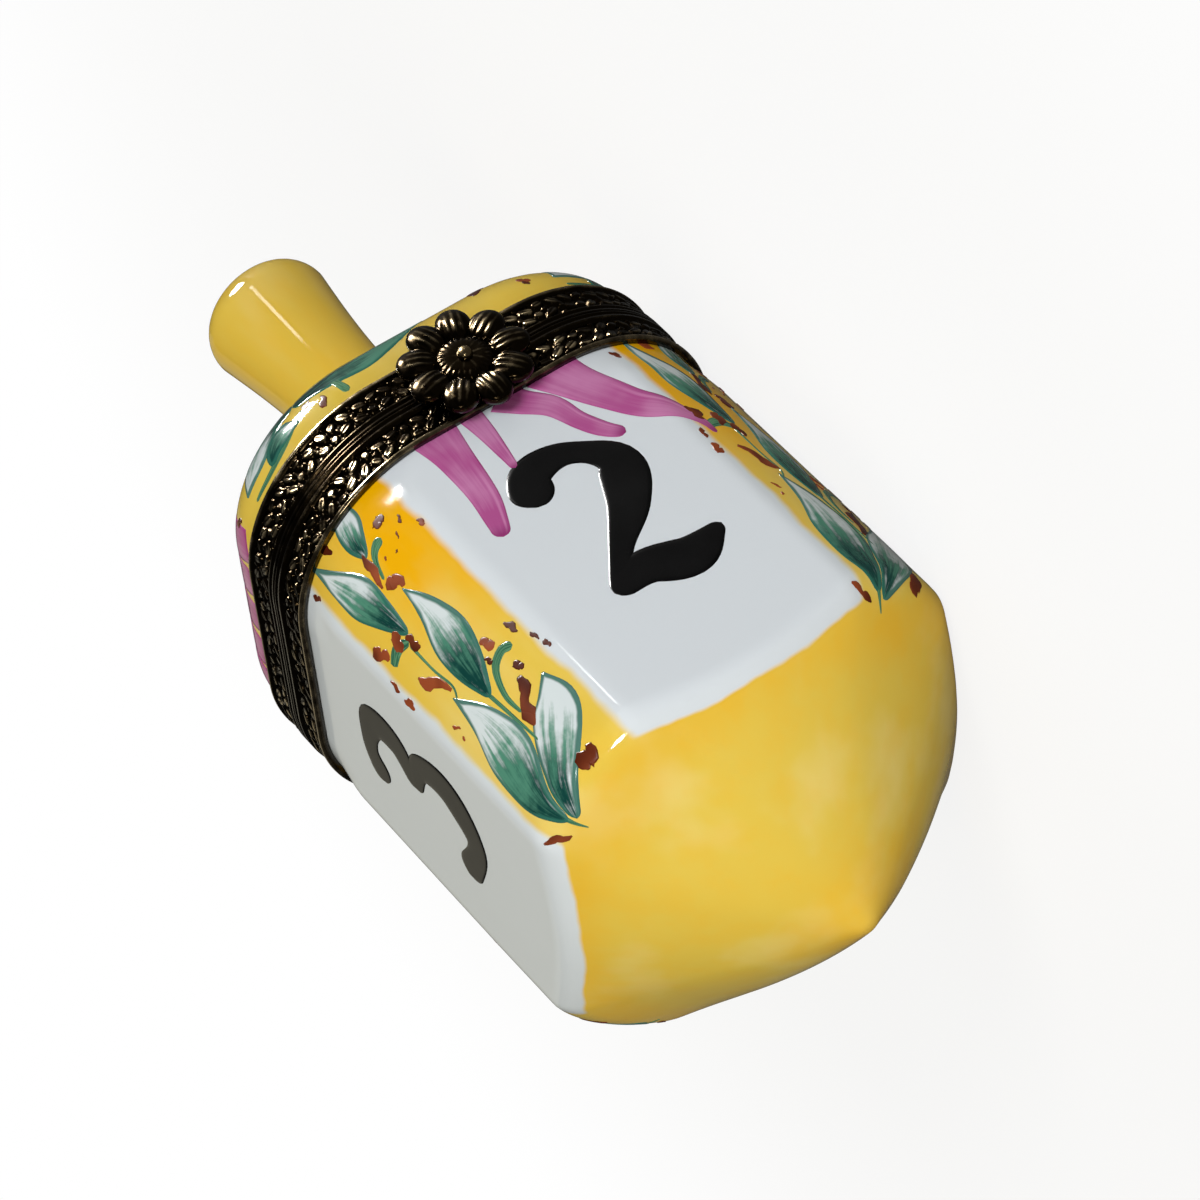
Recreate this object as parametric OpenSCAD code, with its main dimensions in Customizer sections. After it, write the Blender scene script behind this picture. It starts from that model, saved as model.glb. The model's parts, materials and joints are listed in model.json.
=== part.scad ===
// Hinged porcelain trinket box in the shape of a dreidel, lying on one of its four faces.
// Pieces are drawn upright, stem along +Z and the joint of the lid at zero height,
// and are then laid down so that the stem points along +X and the clasp faces -Y.

/* [Porcelain body] */
// Width of the body from one painted face to the other
body_width = 33.2; // [30:0.2:36]
// Radius of the rounded corner bands, seen along the stem
corner_radius = 11; // [9:0.5:12]
// Depth from the joint of the lid to where the shoulder starts to turn in
body_depth = 29.9; // [26:0.1:36]
// Thickness of the porcelain
wall = 2.6; // [2:0.1:2.8]
// Radius of the turn from a face to the tip
shoulder_radius = 3; // [3:0.1:5]
// Angle between the axis and the tip's flank just below the shoulder
flank_angle = 48; // [44:1:52]
// Radius of the slight swell along a flank of the tip
flank_radius = 110; // [90:5:150]
// Radius of the blunt point
point_radius = 1.6; // [1.2:0.1:2]
// Radius of the hollow's end, behind the point
hollow_point_radius = 2; // [1.5:0.1:2.5]

/* [Porcelain lid] */
// Height of the lid's upright edge above its collar
lid_edge = 1.25; // [0.8:0.05:2]
// Radius of the turn from the lid's edge to its dome
lid_turn_radius = 4; // [3.5:0.1:5]
// Angle of that turn
lid_turn_angle = 70; // [66:1:74]
// Distance from the joint of the lid to the end of the stem
stem_top = 30.3; // [27:0.1:34]
// Radius of the stem at its foot
stem_foot_radius = 3.9; // [3.6:0.1:4.4]
// Radius of the stem at its end
stem_end_radius = 5; // [4.6:0.1:5.6]
// Radius of the stem's rounded end
stem_round = 2.4; // [1.5:0.1:3]
// Radius of the hollow curve between dome and stem
stem_fillet = 2.2; // [1.5:0.1:3]

/* [Metal collars] */
// Height of each collar
collar_height = 3.3; // [3:0.05:4]
// How far a collar stands out from the porcelain
collar_proud = 0.6; // [0.5:0.05:0.9]
// Thickness of the lip that covers the porcelain's rim
lip_thickness = 0.5; // [0.4:0.05:0.7]
// Thickness of the flange inside the rim
flange_thickness = 0.4; // [0.3:0.05:0.6]
// Depth of that flange from the joint
flange_depth = 2.4; // [1.5:0.1:3]
// Thickness of the cement between collar and porcelain
cement_thickness = 0.15; // [0.1:0.01:0.2]
// Width of the plain edge that closes on the porcelain
edge_width = 0.4; // [0.3:0.05:0.6]
// Gap left between that edge and the porcelain
edge_gap = 0.05; // [0.03:0.01:0.08]
// Gap between the two collars when the lid is shut
joint_gap = 0.08; // [0.05:0.01:0.12]
// Radius of the two turned grooves beside the joint
groove_radius = 0.16; // [0.1:0.01:0.2]
// Distance from the joint to the first groove, and from that to the second
groove_pitch = 0.42; // [0.35:0.01:0.5]
// Depth of the chased field between the grooves and the plain edge
field_depth = 0.08; // [0.05:0.01:0.12]

/* [Hinge] */
// Outside radius of the hinge tubes
tube_radius = 1.1; // [0.9:0.05:1.3]
// Radius of the hinge pin
pin_radius = 0.5; // [0.4:0.02:0.6]
// Gap around the pin
pin_clearance = 0.04; // [0.02:0.01:0.08]
// Length of each of the five tubes
tube_length = 2.4; // [1.8:0.1:2.4]
// Gap between neighbouring tubes
tube_gap = 0.1; // [0.08:0.01:0.15]
// Gap between a tube and the collar that it turns past
tube_standoff = 0.2; // [0.15:0.01:0.3]
// Length of the pin that shows past the last tube at each end
pin_end = 0.2; // [0.1:0.05:0.3]

/* [Clasp] */
// Width of the tongue that carries the flower
tongue_width = 4.2; // [3:0.1:5]
// Thickness of the tongue
tongue_thickness = 0.4; // [0.3:0.05:0.6]
// Gap between the tongue and the collar of the base
tongue_gap = 0.35; // [0.3:0.01:0.4]
// Reach of the tongue below the joint
tongue_reach = 2.7; // [2.4:0.1:3]
// Radius of the flower
flower_radius = 4.75; // [4.3:0.05:5]
// Number of petals
petal_count = 9; // [8:1:10]
// Radius of one petal
petal_radius = 1.45; // [1.3:0.05:1.5]
// Width of the flat rim round a petal
petal_rim = 0.1; // [0.06:0.01:0.15]
// Height of one petal
petal_height = 0.7; // [0.5:0.05:0.8]
// Radius of the disc in the middle of the flower
disc_radius = 1.85; // [1.6:0.05:1.9]
// Height of that disc's dome
disc_height = 0.55; // [0.4:0.05:0.8]
// Thickness of the flower's back plate
plate_thickness = 0.4; // [0.3:0.05:0.5]
// Radius of the rivet's shank
rivet_radius = 0.35; // [0.25:0.01:0.4]
// Radius of the bead that is the rivet's head
bead_radius = 0.55; // [0.5:0.01:0.6]
// Gap around the rivet's shank
rivet_clearance = 0.02; // [0.01:0.01:0.04]
// Radius of the catch bead on the base's collar, under the tongue
catch_radius = 0.7; // [0.6:0.05:0.8]
// Height of the catch bead
catch_height = 0.27; // [0.2:0.01:0.28]

/* [Hidden] */

// steps of a round corner, and of an arc of the profiles
corner_steps = 10;
arc_steps = 6;
round_fn = 64;
// overrun of every cut past the face it opens
overrun = 0.5;

body_half = body_width / 2;
collar_half = body_half + collar_proud;
joint_half_gap = joint_gap / 2;
// the chased field of a collar, measured from the joint
field_start = 3 * groove_pitch;
field_end = collar_height - edge_width;
// height of the porcelain's rim, inside the channel of its collar
rim_height = joint_half_gap + lip_thickness + cement_thickness;
// share of a ring's half width that is its corner radius, kept along the tip and the dome
corner_share = corner_radius / body_half;
hollow_corner_share = (corner_radius - wall) / (body_half - wall);

// the tip turns through three tangent arcs: shoulder, flank and point
tip_depth = body_depth + tip_length(body_half, shoulder_radius, flank_radius, point_radius);
lid_edge_top = collar_height + lid_edge;
dome_radius = (body_half - lid_turn_radius * (1 - cos(lid_turn_angle))) / cos(lid_turn_angle);
dome_top = lid_edge_top + lid_turn_radius * sin(lid_turn_angle) + dome_radius * (1 - sin(lid_turn_angle));
// height of the dome where the stem's fillet meets it
fillet_reach = stem_foot_radius + stem_fillet;
fillet_height = dome_top - dome_radius + sqrt(dome_radius * dome_radius - fillet_reach * fillet_reach);

hinge_y = collar_half + tube_standoff + tube_radius;
tube_pitch = tube_length + tube_gap;
tube_slots = 5;
hinge_length = tube_slots * tube_pitch - tube_gap;
web_bottom = tube_standoff;

tongue_y = -collar_half - tongue_gap;
flower_y = tongue_y - tongue_thickness;
petal_ring = flower_radius - petal_radius;
petal_step = 360 / petal_count;
disc_front = plate_thickness + disc_height;
clasp_front = flower_y - disc_front - bead_radius;
// the catch bead stands in the middle of the chased field
catch_z = -(field_start + field_end) / 2;

// the box lies on the edge of its collar and on its shoulder, so the axis leans a little
lean = atan(collar_proud / (body_depth - collar_height));
rest_height = collar_half * cos(lean) + collar_height * sin(lean);
centre_x = (tip_depth - stem_top) / 2 * cos(lean);
centre_y = -(hinge_y + tube_radius + clasp_front) / 2;

white_glaze = "Ivory";
dark_brass = "DarkGoldenrod";
bright_brass = "Goldenrod";
cement_grey = "Gainsboro";

// angle at which the flank passes into the point
function point_angle(half, shoulder, flank, point) =
    acos((shoulder + (flank - shoulder) * cos(flank_angle) - half) / (flank - point));

// length of the tip along the axis, below the start of the shoulder
function tip_length(half, shoulder, flank, point) =
    let (last = point_angle(half, shoulder, flank, point))
    shoulder * sin(flank_angle) + flank * (sin(last) - sin(flank_angle)) + point * (1 - sin(last));

// stations [height, half width] of one arc that turns from one angle to another
function arc_stations(top, half, radius, from, to) = [
    for (i = [1 : arc_steps])
        let (turn = from + (to - from) * i / arc_steps)
        [top - radius * (sin(turn) - sin(from)), half - radius * (cos(from) - cos(turn))]
];

function last_of(list) = list[len(list) - 1];

// stations of the whole tip, from the shoulder to just short of the point
function tip_stations(half, shoulder, flank, point) =
    let (
        blunt_angle = 84,
        turned = arc_stations(-body_depth, half, shoulder, 0, flank_angle),
        pass = point_angle(half, shoulder, flank, point),
        along = arc_stations(last_of(turned)[0], last_of(turned)[1], flank, flank_angle, pass),
        blunt = arc_stations(last_of(along)[0], last_of(along)[1], point, pass, blunt_angle)
    )
    concat(turned, along, blunt);

// stations of the dome, mirrored from arcs that run downwards
function dome_stations(half, turn_radius, dome) =
    let (
        crown_angle = 88,
        turned = arc_stations(0, half, turn_radius, 0, lid_turn_angle),
        crown = arc_stations(last_of(turned)[0], last_of(turned)[1], dome, lid_turn_angle, crown_angle)
    )
    [for (s = concat(turned, crown)) [lid_edge_top - s[0], s[1]]];

// points of one rounded-square ring
function ring(station, share) =
    let (radius = station[1] * share, centre = (station[1] - radius) * sqrt(2))
    [
        for (quarter = [0 : 3])
            for (i = [0 : corner_steps])
                let (middle = 45 + 90 * quarter, turn = 90 * (quarter + i / corner_steps))
                [
                    centre * cos(middle) + radius * cos(turn),
                    centre * sin(middle) + radius * sin(turn),
                    station[0]
                ]
    ];

// closed solid through rounded-square rings that rise along Z
module ring_loft(stations, share) {
    count = 4 * (corner_steps + 1);
    rows = len(stations);
    sides = [
        for (row = [0 : rows - 2])
            for (i = [0 : count - 1])
                let (next = (i + 1) % count)
                [row * count + i, (row + 1) * count + i, (row + 1) * count + next, row * count + next]
    ];
    bottom = [for (i = [0 : count - 1]) i];
    top = [for (i = [count - 1 : -1 : 0]) (rows - 1) * count + i];
    polyhedron(
        points = [for (station = stations) each ring(station, share)],
        faces = concat([bottom], sides, [top]),
        convexity = 4
    );
}

function reversed(list) = [for (i = [len(list) - 1 : -1 : 0]) list[i]];

// carries a flat profile, drawn as [distance out from the porcelain, height], round the rim
module rim_sweep() {
    straight = body_half - corner_radius;
    for (quarter = [0 : 3])
        rotate([0, 0, 90 * quarter]) {
            translate([straight, straight, 0])
                rotate_extrude(angle = 90, $fn = round_fn)
                    translate([corner_radius, 0])
                        children();
            translate([body_half, straight, 0])
                rotate([90, 0, 0])
                    linear_extrude(height = 2 * straight)
                        children();
        }
}

// section of one collar: a channel over the rim, with a chased outer band
module collar_section() {
    inside = -wall - cement_thickness;
    rim_top = joint_half_gap + lip_thickness;
    difference() {
        polygon([
            [inside - flange_thickness, joint_half_gap],
            [collar_proud, joint_half_gap],
            [collar_proud, field_start],
            [collar_proud - field_depth, field_start + field_depth],
            [collar_proud - field_depth, field_end - field_depth],
            [collar_proud, field_end],
            [collar_proud, collar_height],
            [edge_gap, collar_height],
            [edge_gap, field_end],
            [cement_thickness, field_end],
            [cement_thickness, rim_top],
            [inside, rim_top],
            [inside, flange_depth],
            [inside - flange_thickness, flange_depth]
        ]);
        for (row = [1, 2])
            translate([collar_proud, row * groove_pitch])
                circle(r = groove_radius, $fn = round_fn);
    }
}

// section of the cement bed between a collar and the rim
module cement_section() {
    rim_top = joint_half_gap + lip_thickness;
    polygon([
        [-wall, rim_top],
        [cement_thickness, rim_top],
        [cement_thickness, field_end],
        [0, field_end],
        [0, rim_height],
        [-wall, rim_height]
    ]);
}

// lays an upright piece down on the face that it rests on
module lay() {
    translate([centre_x, centre_y, rest_height])
        rotate([0, 90 - lean, 0])
            children();
}

// turns a lid piece upside down into the matching piece of the base
module for_base() {
    mirror([0, 0, 1])
        children();
}

// one hinge tube in its slot, with the web that joins it to a collar above it
module knuckle(slot) {
    start = -hinge_length / 2 + slot * tube_pitch;
    translate([start, hinge_y, 0])
        difference() {
            union() {
                rotate([0, 90, 0])
                    cylinder(r = tube_radius, h = tube_length, $fn = round_fn);
                translate([0, collar_half - hinge_y, web_bottom])
                    cube([tube_length, hinge_y - collar_half, tube_radius - web_bottom]);
            }
            translate([-overrun, 0, 0])
                rotate([0, 90, 0])
                    cylinder(r = pin_radius + pin_clearance, h = tube_length + 2 * overrun, $fn = round_fn);
        }
}

// low round cap on a flat face, drawn along +Z
module cap(radius, height) {
    ball = (radius * radius + height * height) / (2 * height);
    intersection() {
        translate([0, 0, height - ball])
            sphere(r = ball, $fn = round_fn);
        cylinder(r = radius, h = height, $fn = round_fn);
    }
}

// turns a piece drawn along +Z from a depth so that it faces out of the front
module face_front(depth) {
    translate([0, depth, 0])
        rotate([90, 0, 0])
            children();
}

module base_porcelain() {
    hollow_half = body_half - wall;
    color(white_glaze)
        lay()
            difference() {
                ring_loft(
                    concat(
                        reversed(tip_stations(body_half, shoulder_radius, flank_radius, point_radius)),
                        [[-body_depth, body_half], [-rim_height, body_half]]
                    ),
                    corner_share
                );
                ring_loft(
                    concat(
                        reversed(tip_stations(
                            hollow_half, shoulder_radius - wall, flank_radius - wall, hollow_point_radius
                        )),
                        [[-body_depth, hollow_half], [-rim_height + overrun, hollow_half]]
                    ),
                    hollow_corner_share
                );
            }
}

module lid_porcelain() {
    hollow_half = body_half - wall;
    color(white_glaze)
        lay() {
            difference() {
                ring_loft(
                    concat(
                        [[rim_height, body_half], [lid_edge_top, body_half]],
                        dome_stations(body_half, lid_turn_radius, dome_radius)
                    ),
                    corner_share
                );
                ring_loft(
                    concat(
                        [[rim_height - overrun, hollow_half], [lid_edge_top, hollow_half]],
                        dome_stations(hollow_half, lid_turn_radius - wall, dome_radius - wall)
                    ),
                    hollow_corner_share
                );
            }
            stem();
        }
}

// stem with a fillet at its foot and a rounded end, sunk a little way into the dome
module stem() {
    sink = wall / 2;
    rotate_extrude($fn = round_fn)
        difference() {
            polygon([
                [0, fillet_height - sink],
                [fillet_reach, fillet_height - sink],
                [fillet_reach, fillet_height],
                [stem_foot_radius, fillet_height + stem_fillet],
                [stem_end_radius, stem_top - stem_round],
                [stem_end_radius - stem_round, stem_top],
                [0, stem_top]
            ]);
            translate([fillet_reach, fillet_height + stem_fillet])
                circle(r = stem_fillet, $fn = round_fn);
        }
    translate([0, 0, stem_top - stem_round])
        rotate_extrude($fn = round_fn)
            intersection() {
                translate([stem_end_radius - stem_round, 0])
                    circle(r = stem_round, $fn = round_fn);
                square([stem_end_radius, stem_round]);
            }
}

module base_collar() {
    color(dark_brass)
        lay()
            for_base()
                rim_sweep()
                    collar_section();
}

module lid_collar() {
    color(dark_brass)
        lay()
            rim_sweep()
                collar_section();
}

module base_cement() {
    color(cement_grey)
        lay()
            for_base()
                rim_sweep()
                    cement_section();
}

module lid_cement() {
    color(cement_grey)
        lay()
            rim_sweep()
                cement_section();
}

module base_knuckle(slot) {
    color(bright_brass)
        lay()
            for_base()
                knuckle(slot);
}

module lid_knuckle(slot) {
    color(bright_brass)
        lay()
            knuckle(slot);
}

module hinge_pin() {
    length = hinge_length + 2 * pin_end;
    color("Silver")
        lay()
            translate([-length / 2, hinge_y, 0])
                rotate([0, 90, 0])
                    cylinder(r = pin_radius, h = length, $fn = round_fn);
}

// strip that is soldered to the lid's collar and hangs clear of the base's collar
module clasp_tongue() {
    pad_height = field_end - web_bottom;
    color(dark_brass)
        lay()
            difference() {
                union() {
                    translate([-tongue_width / 2, flower_y, -tongue_reach])
                        cube([tongue_width, tongue_thickness, tongue_reach + web_bottom + pad_height]);
                    translate([-tongue_width / 2, tongue_y, web_bottom])
                        cube([tongue_width, tongue_gap, pad_height]);
                }
                face_front(tongue_y + tongue_gap + overrun)
                    cylinder(
                        r = rivet_radius + rivet_clearance,
                        h = tongue_gap + tongue_thickness + 2 * overrun,
                        $fn = round_fn
                    );
            }
}

module clasp_flower() {
    color(dark_brass)
        lay()
            face_front(flower_y)
                difference() {
                    union() {
                        cylinder(r = petal_ring, h = plate_thickness, $fn = round_fn);
                        for (i = [0 : petal_count - 1])
                            rotate([0, 0, 90 + petal_step / 2 + petal_step * i])
                                translate([petal_ring, 0, 0]) {
                                    cylinder(r = petal_radius, h = plate_thickness, $fn = round_fn);
                                    translate([0, 0, plate_thickness])
                                        cap(petal_radius - petal_rim, petal_height);
                                }
                        translate([0, 0, plate_thickness])
                            cap(disc_radius, disc_height);
                    }
                    translate([0, 0, -overrun])
                        cylinder(r = rivet_radius + rivet_clearance, h = disc_front + 2 * overrun, $fn = round_fn);
                }
}

module clasp_rivet() {
    shank = tongue_thickness + disc_front;
    color(bright_brass)
        lay()
            face_front(tongue_y) {
                cylinder(r = rivet_radius, h = shank, $fn = round_fn);
                translate([0, 0, shank])
                    cap(bead_radius, bead_radius);
            }
}

module catch_bead() {
    color(bright_brass)
        lay()
            translate([0, 0, catch_z])
                face_front(-collar_half + field_depth)
                    cap(catch_radius, catch_height + field_depth);
}

base_porcelain();
lid_porcelain();
base_collar();
lid_collar();
base_cement();
lid_cement();
base_knuckle(0);  // base_knuckle_left
lid_knuckle(1);  // lid_knuckle_left
base_knuckle(2);  // base_knuckle_middle
lid_knuckle(3);  // lid_knuckle_right
base_knuckle(4);  // base_knuckle_right
hinge_pin();
clasp_tongue();
clasp_flower();
clasp_rivet();
catch_bead();
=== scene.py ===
import json
import math
import bpy
import numpy as np
from mathutils import Matrix, Vector


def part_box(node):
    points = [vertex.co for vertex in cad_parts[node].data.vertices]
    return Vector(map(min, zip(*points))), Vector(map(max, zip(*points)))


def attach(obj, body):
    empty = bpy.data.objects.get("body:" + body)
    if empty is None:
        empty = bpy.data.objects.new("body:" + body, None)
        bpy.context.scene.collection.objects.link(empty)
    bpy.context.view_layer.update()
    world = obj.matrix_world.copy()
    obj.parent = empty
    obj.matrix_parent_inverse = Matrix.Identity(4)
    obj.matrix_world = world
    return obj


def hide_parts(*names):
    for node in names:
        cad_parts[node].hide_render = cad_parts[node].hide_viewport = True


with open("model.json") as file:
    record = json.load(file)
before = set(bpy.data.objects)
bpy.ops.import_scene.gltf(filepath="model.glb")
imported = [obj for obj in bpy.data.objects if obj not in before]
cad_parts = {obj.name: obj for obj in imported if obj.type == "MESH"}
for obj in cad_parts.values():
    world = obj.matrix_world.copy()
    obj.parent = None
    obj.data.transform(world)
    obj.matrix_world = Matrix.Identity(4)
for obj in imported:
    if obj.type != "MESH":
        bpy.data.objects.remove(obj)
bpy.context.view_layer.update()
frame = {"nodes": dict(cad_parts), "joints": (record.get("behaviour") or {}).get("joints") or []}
print("frame loaded")

# pieces are drawn upright in millimetres, stem along +Z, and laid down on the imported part
mm = 0.001
hinge = frame["joints"][0]
collarLow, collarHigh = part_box("base_collar")
acrossWay = -np.array(hinge["axis"], float)  # towards the face that it lies on
hingeWay = np.array((0.0, 1.0, 0.0))
stemWay = np.cross(acrossWay, hingeWay)
jointMiddle = np.array(hinge["pos_m"], float)
jointMiddle[1] = (collarLow.y + collarHigh.y) / 2


def laid(points):
    return jointMiddle + mm * (np.asarray(points, float) @ np.array((acrossWay, hingeWay, stemWay)))


def rgb(red, green, blue):
    shares = [c / 255 for c in (red, green, blue)]
    return tuple(c / 12.92 if c <= 0.04045 else ((c + 0.055) / 1.055) ** 2.4 for c in shares) + (1.0,)


def easeBetween(value, low, high):
    share = np.clip((np.asarray(value, float) - low) / (high - low), 0, 1)
    return share * share * (3 - 2 * share)


# meshes
def wrapFaces(rows, columns, start=0):
    faces = []
    for row in range(rows - 1):
        for column in range(columns):
            following = (column + 1) % columns
            a = start + row * columns
            b = a + columns
            faces.append((a + column, a + following, b + following, b + column))
    return faces


def outward(points, faces):
    # the faces, turned so that they look out of the piece
    corners = np.array([
        (face[0], face[turn], face[turn + 1]) for face in faces for turn in range(1, len(face) - 1)
    ])
    first, second, third = (points[corners[:, index]] for index in range(3))
    volume = np.sum(first * np.cross(second, third))
    return faces if volume > 0 else [face[::-1] for face in faces]


def makePiece(name, points, faces, material, body, marks=None, stands=None):
    mesh = bpy.data.meshes.new(name)
    points = laid(points)
    mesh.from_pydata(points.tolist(), [], outward(points, faces))
    mesh.validate()
    mesh.shade_smooth()
    for label, values in (marks or {}).items():
        layer = mesh.attributes.new(label, "FLOAT", "POINT")
        layer.data.foreach_set("value", np.asarray(values, np.float32))
    mesh.materials.append(material)
    piece = bpy.data.objects.new(name, mesh)
    bpy.context.scene.collection.objects.link(piece)
    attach(piece, body)
    if stands:
        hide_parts(stands)
    return piece


# node helpers, which find the tree by the sockets that they are given
def setInputs(node, inputs):
    for key, value in inputs.items():
        if isinstance(value, bpy.types.NodeSocket):
            node.id_data.links.new(value, node.inputs[key])
        else:
            node.inputs[key].default_value = value


def addNode(tree, kind, inputs=None, **settings):
    node = tree.nodes.new(kind)
    for key, value in settings.items():
        setattr(node, key, value)
    setInputs(node, inputs or {})
    return node


def calc(operation, first, second=0.0, clamp=False):
    inputs = {0: first, 1: second}
    return addNode(first.id_data, "ShaderNodeMath", inputs, operation=operation, use_clamp=clamp).outputs[0]


def plus(first, second, clamp=False):
    return calc("ADD", first, second, clamp)


def minus(first, second):
    return calc("SUBTRACT", first, second)


def times(first, second):
    return calc("MULTIPLY", first, second)


def added(first, second, share):
    # first and a share of second
    return plus(first, times(second, share))


def ramp(value, low, high, fromLevel=0.0, toLevel=1.0):
    inputs = {"Value": value, "From Min": low, "From Max": high, "To Min": fromLevel, "To Max": toLevel}
    node = addNode(value.id_data, "ShaderNodeMapRange", inputs, interpolation_type="SMOOTHSTEP")
    return node.outputs["Result"]


def mixColor(share, first, second):
    inputs = {0: share, 6: first, 7: second}
    return addNode(share.id_data, "ShaderNodeMix", inputs, data_type="RGBA").outputs[2]


def noise(vector, scale, detail=2.0, roughness=0.5):
    inputs = {"Vector": vector, "Scale": scale, "Detail": detail, "Roughness": roughness}
    return addNode(vector.id_data, "ShaderNodeTexNoise", inputs).outputs["Fac"]


def bumped(height, strength, distance):
    inputs = {"Height": height, "Strength": strength, "Distance": distance}
    return addNode(height.id_data, "ShaderNodeBump", inputs).outputs["Normal"]


def mark(tree, name):
    return addNode(tree, "ShaderNodeAttribute", attribute_name=name).outputs["Fac"]


def place(tree):
    return addNode(tree, "ShaderNodeTexCoord").outputs["Object"]


def newMaterial(name):
    material = bpy.data.materials.new(name)
    material.use_nodes = True
    tree = material.node_tree
    return material, tree, tree.nodes["Principled BSDF"]


def newGroup(name, inputs, outputs):
    group = bpy.data.node_groups.new(name, "ShaderNodeTree")
    for label, kind, value in inputs:
        socket = group.interface.new_socket(label, in_out="INPUT", socket_type=kind)
        socket.default_value = value
    for label, kind in outputs:
        group.interface.new_socket(label, in_out="OUTPUT", socket_type=kind)
    return group, group.nodes.new("NodeGroupInput").outputs, group.nodes.new("NodeGroupOutput")


def placeGroup(tree, group, inputs):
    return addNode(tree, "ShaderNodeGroup", inputs, node_tree=group).outputs


floatKind, colorKind = "NodeSocketFloat", "NodeSocketColor"

# slow waves and fine pits of a fired glaze
glazeWaves = {"pitHeight": 0.03, "hazy": (0.35, 0.75), "haze": 0.05}
glazeGroup, given, shown = newGroup(
    "firedGlaze",
    [("Wave Scale", floatKind, 140.0), ("Pit Scale", floatKind, 2600.0), ("Gloss", floatKind, 0.07)],
    [("Height", floatKind), ("Roughness", floatKind)],
)
waves = noise(place(glazeGroup), given["Wave Scale"], 2.0)
pits = noise(place(glazeGroup), given["Pit Scale"], 1.0)
haze = times(ramp(waves, *glazeWaves["hazy"]), glazeWaves["haze"])
setInputs(shown, {
    "Height": added(waves, pits, glazeWaves["pitHeight"]), "Roughness": plus(haze, given["Gloss"]),
})

# streaks that the hairs of a brush leave along a stroke
brushHairs = {"seedStep": 3.7, "streak": (0.34, 0.66), "wash": (0.3, 0.7)}
streakGroup, given, shown = newGroup(
    "brushStreaks",
    [("Hairs", floatKind, 5.0), ("Length", floatKind, 1.6), ("Wash Scale", floatKind, 420.0)],
    [("Streak", floatKind), ("Wash", floatKind)],
)
strokeSide = times(mark(streakGroup, "side"), given["Hairs"])
strokeAlong = times(mark(streakGroup, "along"), given["Length"])
strokeSeed = times(mark(streakGroup, "seed"), brushHairs["seedStep"])
strokePlace = addNode(streakGroup, "ShaderNodeCombineXYZ", {0: strokeSide, 1: strokeAlong, 2: strokeSeed})
hairs = noise(strokePlace.outputs[0], 1.0, 3.0, 0.6)
wash = noise(place(streakGroup), given["Wash Scale"], 2.0)
setInputs(shown, {"Streak": ramp(hairs, *brushHairs["streak"]), "Wash": ramp(wash, *brushHairs["wash"])})

# brass that has gone dark in its hollows and is rubbed bright on what stands out
brassAge = {
    "patinaScale": 900.0, "patinaShare": 0.6, "patinaHeight": 0.8,
    "rubbed": (0.35, 1.0), "dull": (0.35, 0.7), "dullness": 0.18,
    "grainStrength": 0.5, "grainDepth": 0.00001,
}
brassGroup, given, shown = newGroup(
    "agedBrass",
    [
        ("Raised", floatKind, 0.5), ("Dark", colorKind, rgb(30, 22, 14)),
        ("Rubbed", colorKind, rgb(150, 116, 66)),
        ("Grain Scale", floatKind, 3600.0), ("Polish", floatKind, 0.22),
    ],
    [("Color", colorKind), ("Roughness", floatKind), ("Height", floatKind)],
)
patina = noise(place(brassGroup), brassAge["patinaScale"], 4.0, 0.6)
grain = noise(place(brassGroup), given["Grain Scale"], 3.0, 0.65)
uneven = times(minus(patina, 0.5), brassAge["patinaShare"])
rubbed = ramp(plus(given["Raised"], uneven), *brassAge["rubbed"])
dull = times(ramp(patina, *brassAge["dull"]), brassAge["dullness"])
setInputs(shown, {
    "Color": mixColor(rubbed, given["Dark"], given["Rubbed"]), "Roughness": plus(dull, given["Polish"]),
    "Height": added(grain, patina, brassAge["patinaHeight"]),
})


# porcelain form
porcelain = {
    "half": 16.6, "cornerRadius": 11.0, "wall": 2.6, "rim": 0.69,
    "depth": 29.9, "shoulderRadius": 3.0, "flankAngle": 46.142, "flankRadius": 80.0, "pointRadius": 1.6,
    "hollowPoint": 2.0, "hollowSoft": 6.0, "pointEnd": 0.5,
    # soft fold along each painted panel
    "flatHalf": 8.3, "foldRadius": 2.5, "foldTurn": 25.0,
    "foldStart": 3.4, "foldFull": 7.0, "foldFade": 29.5, "foldGone": 35.5,
    # how far the tip leaves the square
    "tipSoft": 0.3, "tipSoftStart": 30.0, "tipSoftFull": 38.0, "pointSoft": 7.0,
    # the shoulder bows towards the tip on the faces and back at the corners
    "archFace": 1.1, "archCorner": 0.8, "archInset": 0.05,
    "archStart": 22.0, "archFull": 31.0, "archFade": 34.0,
    "columnsPerHalfFace": 40, "flatColumns": 0.45, "flatShort": 0.3, "rowStep": 0.45, "hollowStep": 1.1,
}
half = porcelain["half"]
faceTurn = math.radians(45)
foldTurn = math.radians(porcelain["foldTurn"])
foldRadius = porcelain["foldRadius"]
foldDrop = foldRadius * (1 - math.cos(foldTurn))
foldReach = porcelain["flatHalf"] + foldRadius * math.sin(foldTurn)
bandRadius = (half - foldDrop - foldReach) / (
    math.sin(faceTurn) - math.sin(foldTurn) + math.cos(foldTurn) - math.cos(faceTurn)
)
plainTurns = (half - porcelain["cornerRadius"], ((porcelain["cornerRadius"], faceTurn),))
foldedTurns = (porcelain["flatHalf"], ((foldRadius, foldTurn), (bandRadius, faceTurn - foldTurn)))
sideTangents = np.array(((-1, 0), (0, 1), (1, 0), (0, -1)), float)
sideNormals = np.array(((0, -1), (-1, 0), (0, 1), (1, 0)), float)


def turnsLength(turns):
    return turns[0] + sum(radius * turn for radius, turn in turns[1])


halfFace = turnsLength(foldedTurns)


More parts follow.
